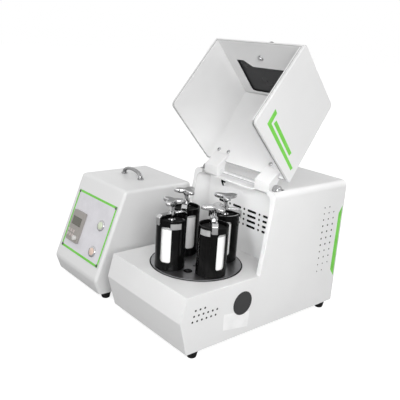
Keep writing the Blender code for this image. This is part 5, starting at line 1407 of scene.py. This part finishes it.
@dataclass
class Lid:
    """The double-walled lid on its hinge, standing open."""

    nodes: dict[str, bpy.types.Object]
    hinge: Point = (0.2685, 0.342)
    opening: float = 129.5
    front_foot: Point = (-0.006, 0.1425)
    bend: Point = (0.024, 0.325)
    back: Point = (0.2426, 0.342)
    heel: Point = (0.2127, 0.1425)
    heel_radius: float = 0.012
    half_width: float = 0.150
    wall: float = 0.010
    arm_edge: float = 0.0014
    pane_edge: float = 0.0005
    seal_inset: float = 0.0088
    seal_width: float = 0.0010
    seal_proud: float = 0.00015
    seal_depth: float = 0.0006
    film: float = 0.00015
    knob_spot: Point = (-0.009, 0.048)
    knob_head: float = 0.010
    knob_reach: float = 0.044
    knob_stem: float = 0.0055
    knob_foot: float = 0.012
    knob_bolt: float = 0.004
    knob_inside: float = -0.0095
    nut_radius: float = 0.0068
    washer_radius: float = 0.0085
    outer_stripe: tuple[Point, ...] = ((0.1530, 0.1708), (0.191, 0.1744), (0.219, 0.320), (0.211, 0.322),
                                       (0.1828, 0.1850), (0.1565, 0.1825))
    inner_stripe: tuple[Point, ...] = ((0.1684, 0.1927), (0.1784, 0.1907), (0.1985, 0.289), (0.1889, 0.291))
    screw_x: tuple[float, ...] = (-0.113, -0.0758, 0.0766, 0.113)
    screw_row: float = 0.1896
    screw: Point = (0.0055, 0.003)

    def place(self) -> Matrix:
        """Give the lid's frame, on the hinge axis, as the lid stands open.

        Returns:
            The frame.
        """
        low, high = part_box("hinge_shaft")
        axis = (low + high) / 2
        return shift(MILL_PLACE.translation.x, axis.y, axis.z) @ rotate(-self.opening, "X")

    def from_hinge(self, point: Point) -> tuple[float, float]:
        """Give a point's y and z from the hinge axis."""
        return point[0] - self.hinge[0], point[1] - self.hinge[1]

    def panel(self, low: Point, high: Point) -> Matrix:
        """Give the place of a panel of the open lid between two corners."""
        return self.place() @ slope_frame(self.from_hinge(low), self.from_hinge(high))

    def build(self) -> None:
        """Build and dress every piece."""
        Form.copy_of(self.nodes["lid_shell"]).piece("lid_skin", Coat.WHITE, "lid_shell", "lid", smooth=50)
        tray = Form.copy_of(self.nodes["lid_liner"])
        tray.piece("lid_inner_tray", Coat.WHITE, "lid_liner", "lid", smooth=45)
        pane = Form.copy_of(self.nodes["lid_window"]).bevelled(self.pane_edge, 1)
        pane.piece("lid_pane", Coat.PANE, "lid_window", "lid")
        for side in ("left", "right"):
            node = f"{side}_hinge_arm"
            arm = Form.copy_of(self.nodes[node]).bevelled(self.arm_edge, 3, longer_than(0.004), 28)
            arm.piece(f"{side}_hinge_block", Coat.WHITE, node, "lid", smooth=35)
        self.knob()
        self.seal()
        self.stripes()
        heads = screw_head(*self.screw).repeated(
            self.panel(self.bend, self.back) @ shift(x, self.screw_row, -self.wall) @ rotate(180, "X")
            for x in self.screw_x)
        heads.piece("lid_hinge_screws", Coat.BRIGHT, body="lid", slot="lid_liner")

    def knob(self) -> None:
        """Make the lifting knob through the front panel, and its nut inside."""
        head, reach, stem, foot = self.knob_head, self.knob_reach, self.knob_stem, self.knob_foot
        bolt, inside = self.knob_bolt, self.knob_inside
        profile = [(0, reach), (head * 0.55, reach - 0.0004), (head * 0.85, reach - 0.002),
                   (head, reach - 0.0045), (head, reach - 0.0085), (head * 0.9, reach - 0.0115),
                   (stem, reach - 0.019), (stem, 0.0075), (0.0075, 0.0042), (foot, 0.0033), (foot, GAP),
                   (bolt, GAP), (bolt, inside), (0, inside)]
        place = self.panel(self.front_foot, self.bend) @ shift(*self.knob_spot, 0)
        Form.turned(profile, 48).moved(place).piece("lid_lifting_knob", Coat.PLUG, "lid_knob", "lid")
        seat = -self.wall - GAP
        nut = Form.plate(hexagon(self.nut_radius), seat - 0.0045, seat - 0.0009).bevelled(0.0004, 1)
        bolt_end = Form.turned([(0, seat - 0.004), (0.0035, seat - 0.004), (0.0035, seat - 0.0062),
                                (0.003, seat - 0.0066), (0, seat - 0.0066)], 24)
        nut.fused(Form.rod(self.washer_radius, seat, seat - 0.001, 40), bolt_end)
        nut.moved(place).piece("lid_knob_nut", Coat.BRIGHT, body="lid", slot="lid_knob")

    def seal(self) -> None:
        """Lay the thin seal round the lid's mouth."""
        corners = [Vector(self.from_hinge(point)) for point in (self.front_foot, self.heel, self.back)]
        first = (corners[1] - corners[0]).normalized()
        second = (corners[2] - corners[1]).normalized()
        inward = [Vector((-along.y, along.x)) for along in (first, second)]
        start = corners[0] + first * self.seal_inset
        end = corners[2] - second * self.seal_inset
        setback = self.heel_radius * math.tan(first.angle(second) / 2)
        centre = corners[1] - first * setback + inward[0] * self.heel_radius
        path = [(start, inward[0])]
        for step in range(9):
            way = inward[0].slerp(inward[1], step / 8)
            path.append((centre - way * self.heel_radius, way))
        path.append((end, inward[1]))
        ring = [point - way * self.seal_proud for point, way in path]
        ring += [point + way * self.seal_depth for point, way in reversed(path)]
        middle = self.half_width - self.seal_inset
        half = self.seal_width / 2
        seal = Form()
        for side in (-1, 1):
            seal.added(Form.plate(ring, side * middle - half, side * middle + half))
        for point, along, way in ((start, first * half, inward[0]), (end, second * half, inward[1])):
            outside = point - way * self.seal_proud
            inside = point + way * self.seal_depth
            bar = [outside - along, outside + along, inside + along, inside - along]
            seal.added(Form.plate(bar, half - middle, middle - half))
        seal.moved(self.place() @ SIDEWAYS).piece("lid_mouth_seal", Coat.SEAL, body="lid", slot="lid_liner")

    def stripes(self) -> None:
        """Lay the two green stripes on the lid's right side."""
        face = self.half_width
        for name, outline in (("lid_outer_green_stripe", self.outer_stripe),
                              ("lid_inner_green_stripe", self.inner_stripe)):
            stripe = Form.plate([self.from_hinge(point) for point in outline], face - CLOSE, face + self.film)
            stripe.moved(self.place() @ SIDEWAYS).piece(name, Coat.GREEN, body="lid", slot="lid_shell")


# The control box

@dataclass
class ControlBox:
    """The control box with its fascia, controls and handle."""

    nodes: dict[str, bpy.types.Object]
    width: float = 0.232
    depth: float = 0.2908
    height: float = 0.2775
    nose: Point = (-0.0146, 0.040)
    brow: Point = (0.0749, 0.2775)
    sheet: float = 0.0015
    tray_corner: float = 0.009
    screw_inset: float = 0.012
    screw_low: float = 0.014
    screw_drop: float = 0.022
    plate: tuple[float, float, float, float] = (-0.211, 0.036, -0.008, 0.208)
    plate_top: float = 0.0023
    plate_screw: Point = (0.0040, 0.0018)
    plate_screw_inset: float = 0.0055
    border_edge: float = 0.0006
    border: float = 0.0068
    film: float = 0.00015
    recess: tuple[float, float, float, float] = (-0.184, 0.109, -0.137, 0.133)
    glass_inset: float = 0.0004
    glass_low: float = 0.0086
    glass_top: float = 0.0101
    keys: Point = (-0.1685, 0.086)
    key_pitch: float = 0.0125
    key_half: float = 0.0043
    key_low: float = 0.0127
    key_top: float = 0.0131
    key_corner: float = 0.0012
    button_x: float = -0.053
    start_y: float = 0.142
    stop_y: float = 0.068
    dial: Point = (-0.1405, 0.0772)
    dial_seat: float = 0.008
    dial_radius: float = 0.0067
    dial_ridge: float = 0.0001
    dial_ridges: int = 24
    dial_height: float = 0.0073
    dial_stalk: float = 0.0025
    dial_depth: float = 0.004
    dial_crown: tuple[Point, ...] = ((0, 0.008), (0.0056, 0.008), (0.0062, 0.0076), (0.0064, 0.007),
                                     (0, 0.007))
    dial_mark: tuple[Point, Point] = ((-0.0004, 0.0025, 0.0077), (0.0004, 0.006, 0.009))
    bezel: tuple[Point, ...] = (
        (0.0105, 0.003), (0.0110, 0.003), (0.0142, 0.003), (0.0150, 0.0024), (0.0155, 0.0012), (0.0155, GAP),
        (0.0122, GAP), (0.0122, -0.014), (0, -0.014), (0, -0.012), (0.0105, -0.012), (0.0105, 0.003))
    cap: tuple[Point, ...] = ((0, 0.0055), (0.006, 0.0053), (0.009, 0.0047), (0.0100, 0.0040),
                              (0.0102, 0.003), (0.0102, -0.0005), (0, -0.0005))
    handle: Point = (-0.128, 0.179, 0.084)
    handle_low: float = 0.0015
    handle_rise: float = 0.0195
    handle_fullness: float = 0.75
    handle_radius: float = 0.0063
    handle_flat: float = 0.75
    handle_foot: tuple[Point, ...] = ((0, 0), (0.009, 0), (0.009, 0.002), (0.008, 0.003), (0, 0.003))

    def fascia(self) -> Matrix:
        """Give the fascia's frame: X right, Y up the slope, Z outward."""
        return BOX_PLACE @ slope_frame(self.nose, self.brow)

    def build(self) -> None:
        """Build and dress every piece."""
        Form.copy_of(self.nodes["box_shell"]).piece("box_cover", Coat.WHITE, "box_shell", smooth=50)
        self.tray()
        feet = FootSet(self.width, self.depth, -self.width / 2).form()
        feet.moved(BOX_PLACE).piece("box_rubber_feet", Coat.RUBBER, "box_base")
        self.rear()
        self.face()
        self.controller()
        self.dial_knob()
        self.buttons()
        self.bow_handle()

    def tray(self) -> None:
        """Make the floor tray, with its front corners rounded as the cover's are."""
        edge = self.sheet + GAP
        back = self.depth - PANEL_INSET - self.sheet - GAP
        tray = Form.block((edge - self.width, edge, 0), (-edge, back, TRAY_HEIGHT))
        tray.bevelled(self.tray_corner, 4, lambda side: side.verts[0].co.y < self.depth / 2
                      and abs(side.verts[0].co.z - side.verts[1].co.z) > CLOSE)
        tray.carved(Form.block((2 * edge - self.width, 2 * edge + 0.001, TRAY_FLOOR),
                               (-2 * edge, back - self.sheet, 2 * TRAY_HEIGHT)))
        tray.moved(BOX_PLACE).piece("box_floor_tray", Coat.WHITE_PAINTED_LIGHTER, "box_base")

    def rear(self) -> None:
        """Dress the back panel and put its screws in."""
        Form.copy_of(self.nodes["box_rear_panel"]).piece("box_rear_cover", Coat.WHITE, "box_rear_panel")
        inset = self.screw_inset
        spots = [(x, z) for x in (-inset, inset - self.width)
                 for z in (self.screw_low, self.height - self.screw_drop)]
        screws = panel_screws(BOX_PLACE, self.depth, spots)
        screws.piece("box_rear_screws", Coat.BRIGHT, slot="box_rear_panel")

    def face(self) -> None:
        """Dress the fascia plate, its green border and its corner screws."""
        plate = Form.copy_of(self.nodes["fascia_plate"]).bevelled(0.0004, 1, longer_than(0.05))
        plate.piece("fascia_face", Coat.FASCIA, "fascia_plate")
        top = self.plate_top
        outer = self.framed(self.plate, self.border_edge, 0.001, 2)
        inner = self.framed(self.plate, self.border, 0.001, 2)
        ring = Form.plate(outer, top - CLOSE, top + self.film)
        ring.carved(Form.plate(inner, top - 0.001, top + 0.001))
        ring.moved(self.fascia()).piece("fascia_green_border", Coat.GREEN, slot="fascia_plate")
        low_x, low_y, high_x, high_y = self.plate
        inset = self.plate_screw_inset
        screws = screw_head(*self.plate_screw).repeated(
            self.fascia() @ shift(x, y, top)
            for x in (low_x + inset, high_x - inset) for y in (low_y + inset, high_y - inset))
        screws.piece("fascia_corner_screws", Coat.DARK_STEEL, slot="fascia_plate")

    @staticmethod
    def framed(sides: Sequence[float], inset: float, radius: float, steps: int) -> list[tuple[float, float]]:
        """Outline a rectangle with round corners at a distance inside another."""
        low_x, low_y, high_x, high_y = sides
        return rounded_rectangle(low_x + inset, low_y + inset, high_x - inset, high_y - inset, radius, steps)

    def controller(self) -> None:
        """Dress the speed controller: its housing, display glass and key caps."""
        case = Form.copy_of(self.nodes["keypad_housing"]).bevelled(0.0004, 1, longer_than(0.005), 60)
        case.piece("controller_case", Coat.KEYPAD, "keypad_housing")
        outline = self.framed(self.recess, self.glass_inset, 0.001, 3)
        glass = Form.plate(outline, self.glass_low, self.glass_top)
        glass.moved(self.fascia()).piece("display_window", Coat.GLASS, slot="keypad_housing")
        half = self.key_half
        outline = rounded_rectangle(-half, -half, half, half, self.key_corner, 3)
        key = Form.plate(outline, self.key_low, self.key_top)
        across, up = self.keys
        pitch = self.key_pitch
        caps = key.repeated(self.fascia() @ shift(across + column * pitch, up + row * pitch, 0)
                            for column in (-1, 0, 1) for row in (-0.5, 0.5))
        caps.piece("controller_key_caps", Coat.PALE_KEY, slot="keypad_housing")

    def dial_knob(self) -> None:
        """Make the controller's round ridged dial on its stalk."""
        outline = []
        for step in range(96):
            angle = 2 * math.pi * step / 96
            ridge = self.dial_ridge * math.cos(self.dial_ridges * angle)
            outline.append(polar(self.dial_radius + ridge, angle))
        crown = Form.turned(self.dial_crown, 48)
        stalk = Form.rod(self.dial_stalk, 0.001, -self.dial_depth, 24)
        grip = Form.plate(outline, GAP, self.dial_height).fused(crown, stalk)
        seat = self.fascia() @ shift(*self.dial, self.plate_top + GAP + self.dial_seat)
        grip.carved(Form.block(*self.dial_mark)).moved(seat)
        grip.piece("speed_dial_knob", Coat.DIAL, "speed_dial", "speed_dial")

    def buttons(self) -> None:
        """Make the two bezels and their lit buttons."""
        ring = Form.turned(self.bezel, 72)
        cap = Form.turned(self.cap)
        for name, y, lamp in (("start", self.start_y, Coat.GREEN_LAMP), ("stop", self.stop_y, Coat.RED_LAMP)):
            seat = self.fascia() @ shift(self.button_x, y, self.plate_top)
            ring.twin().moved(seat).piece(f"{name}_button_ring", Coat.CHROME, f"{name}_bezel")
            cap.twin().moved(seat).piece(f"{name}_button_cap", lamp, f"{name}_button", f"{name}_button")

    def bow_handle(self) -> None:
        """Make the chrome bow handle and its two feet."""
        middle, y, span = self.handle
        foot = self.height + GAP
        path = []
        for step in range(33):
            angle = math.pi * step / 32
            rise = self.handle_low + self.handle_rise * math.sin(angle) ** self.handle_fullness
            path.append(Vector((middle - span / 2 * math.cos(angle), y, foot + rise)))
        bow = Form.swept(path, [self.handle_radius] * len(path), self.handle_flat)
        base = Form.turned(self.handle_foot, 40)
        for side in (-1, 1):
            bow.fused(base.twin().moved(shift(middle + side * span / 2, y, foot)))
        bow.moved(BOX_PLACE).piece("box_bow_handle", Coat.DARK_CHROME, "box_handle")


# The picture

@dataclass(frozen=True)
class Lamp:
    """One soft square lamp that faces the object."""

    name: str
    spot: Point
    size: float
    power: float
    target: Point = (0, 0, 0.25)
    spread: float = 180.0

    def hang(self) -> None:
        """Hang the lamp."""
        light = bpy.data.lights.new(self.name, "AREA")
        light.energy = self.power
        light.spread = math.radians(self.spread)
        light.size = self.size
        thing = bpy.data.objects.new(self.name, light)
        bpy.context.scene.collection.objects.link(thing)
        thing.matrix_world = facing(Vector(self.spot), Vector(self.target))


@dataclass
class Studio:
    """A pale floor, a white surrounding, soft lamps and the cloths that shiny things show."""

    glow: float = 0.62
    floor_size: float = 30.0
    floor_shade: float = 0.42
    floor_lift: float = 0.80
    lamps: tuple[Lamp, ...] = (
        Lamp("key", (2.1, -1.25, 1.2), 1.2, 34.0), Lamp("front", (-0.4, -2.3, 1.5), 1.6, 11.0),
        Lamp("back", (0.6, 1.7, 1.9), 0.9, 7.0),
        Lamp("chamber", (0.75, -1.35, 0.85), 0.3, 0.16, (0.23, 0.03, 0.27), 19.0))
    cloths: tuple[tuple[Point, float, float, float], ...] = (
        ((1.9, 0.9, 0.7), 0.45, 1.3, 0.02), ((-0.9, -2.1, 0.7), 0.45, 1.3, 0.02),
        ((-1.5, 1.7, 1.15), 1.6, 0.8, 0.5))
    cloth_target: Point = (0.1, -0.1, 0.3)

    def build(self) -> None:
        """Set the surrounding, the floor, the cloths and the lamps."""
        self.surrounding()
        self.floor()
        self.flags()
        for lamp in self.lamps:
            lamp.hang()

    def surrounding(self) -> None:
        """Make a white surrounding that lights the object softly."""
        world = bpy.data.worlds.new("studio")
        bpy.context.scene.world = world
        recipe = Recipe(world)
        rays = [recipe.node("ShaderNodeLightPath", output=f"Is {kind} Ray")
                for kind in ("Camera", "Transmission", "Glossy")]
        soft, white = (recipe.node("ShaderNodeBackground", {}, {"Color": (1.0,) * 4, "Strength": strength})
                       for strength in (self.glow, 1.0))
        seen = rays[0].or_more(rays[1]).or_more(rays[2])
        recipe.close(recipe.node("ShaderNodeMixShader", {}, {0: seen, 1: soft, 2: white}),
                     "ShaderNodeOutputWorld")

    def sheet(self, name: str, material: bpy.types.Material, place: Matrix) -> bpy.types.Object:
        """Make a flat square of one metre that is no part of the object.

        Args:
            name: Its name.
            material: Its material.
            place: Its place and stretch.

        Returns:
            The new object.
        """
        form = Form()
        bmesh.ops.create_grid(form.mesh, x_segments=1, y_segments=1, size=0.5, matrix=place)
        mesh = bpy.data.meshes.new(name)
        form.mesh.to_mesh(mesh)
        mesh.materials.append(material)
        thing = bpy.data.objects.new(name, mesh)
        bpy.context.scene.collection.objects.link(thing)
        return thing

    def floor(self) -> None:
        """Lay the pale floor, which keeps the object's shadow."""
        recipe = Recipe(bpy.data.materials.new("pale_floor"))
        seen = recipe.node("ShaderNodeLightPath", output="Is Camera Ray")
        shade = self.floor_shade
        pale = recipe.surface(
            Base_Color=recipe.mix(recipe.noise(2.0), grey(shade), grey(shade + 0.01)), Roughness=0.9,
            Specular_IOR_Level=0.1, Emission_Color=recipe.mix(seen, grey(0.0), grey(self.floor_lift)),
            Emission_Strength=1.0)
        size = self.floor_size
        self.sheet("floor", pale, Matrix.Diagonal((size, size, 1.0, 1.0)))

    def flags(self) -> None:
        """Hang dark cloths round the object, which only shiny things show."""
        for number, (spot, wide, tall, shade) in enumerate(self.cloths):
            recipe = Recipe(bpy.data.materials.new(f"stage_cloth_{number}"))
            cloth = recipe.surface(Base_Color=recipe.mix(recipe.noise(3.0), grey(shade), grey(shade * 1.2)),
                                   Roughness=0.9)
            stretch = Matrix.Diagonal((wide, tall, 1.0, 1.0))
            flag = self.sheet(f"flag_{number}", cloth,
                              facing(Vector(spot), Vector(self.cloth_target)) @ stretch)
            flag.visible_camera = flag.visible_diffuse = False
            flag.visible_shadow = flag.visible_transmission = False


@dataclass
class Viewpoint:
    """The camera that took the photo."""

    spot: Point = (1.137334, -0.966134, 0.708669)
    azimuth: float = 49.102
    elevation: float = 16.532
    roll: float = 3.847
    lens: float = 50.94
    film_width: float = 36.0

    def build(self) -> None:
        """Set the camera."""
        around, above, roll = (math.radians(angle) for angle in (self.azimuth, self.elevation, self.roll))
        back = Vector((math.sin(around) * math.cos(above), -math.cos(around) * math.cos(above),
                       math.sin(above)))
        right = Vector((0, 0, 1)).cross(back).normalized()
        up = back.cross(right)
        level = math.cos(roll) * right + math.sin(roll) * up
        upright = math.cos(roll) * up - math.sin(roll) * right
        data = bpy.data.cameras.new("camera")
        data.lens = self.lens
        data.sensor_width = self.film_width
        camera = bpy.data.objects.new("camera", data)
        bpy.context.scene.collection.objects.link(camera)
        turn = Matrix((level, upright, back)).transposed().to_4x4()
        camera.matrix_world = Matrix.Translation(self.spot) @ turn
        scene = bpy.context.scene
        scene.camera = camera
        scene.view_settings.view_transform = "Standard"


def main() -> None:
    """Build the picture."""
    logging.basicConfig(level=logging.INFO, format="%(name)s: %(message)s")
    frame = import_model()
    nodes = frame["nodes"]
    Housing(nodes).build()
    Drive(nodes).build()
    Disk().build()
    for number, spot, turn, tag_angle in ((1, (0.220655, -0.124928), -2.0, -73.0),
                                          (2, (0.164428, -0.038345), 84.0, None),
                                          (3, (0.077845, -0.094572), -10.0, None),
                                          (4, (0.134072, -0.181155), -58.0, -20.0)):
        JarStation(number, spot, turn, tag_angle=tag_angle).build()
    Lid(nodes).build()
    ControlBox(nodes).build()
    Studio().build()
    Viewpoint().build()


if __name__ == "__main__":
    main()
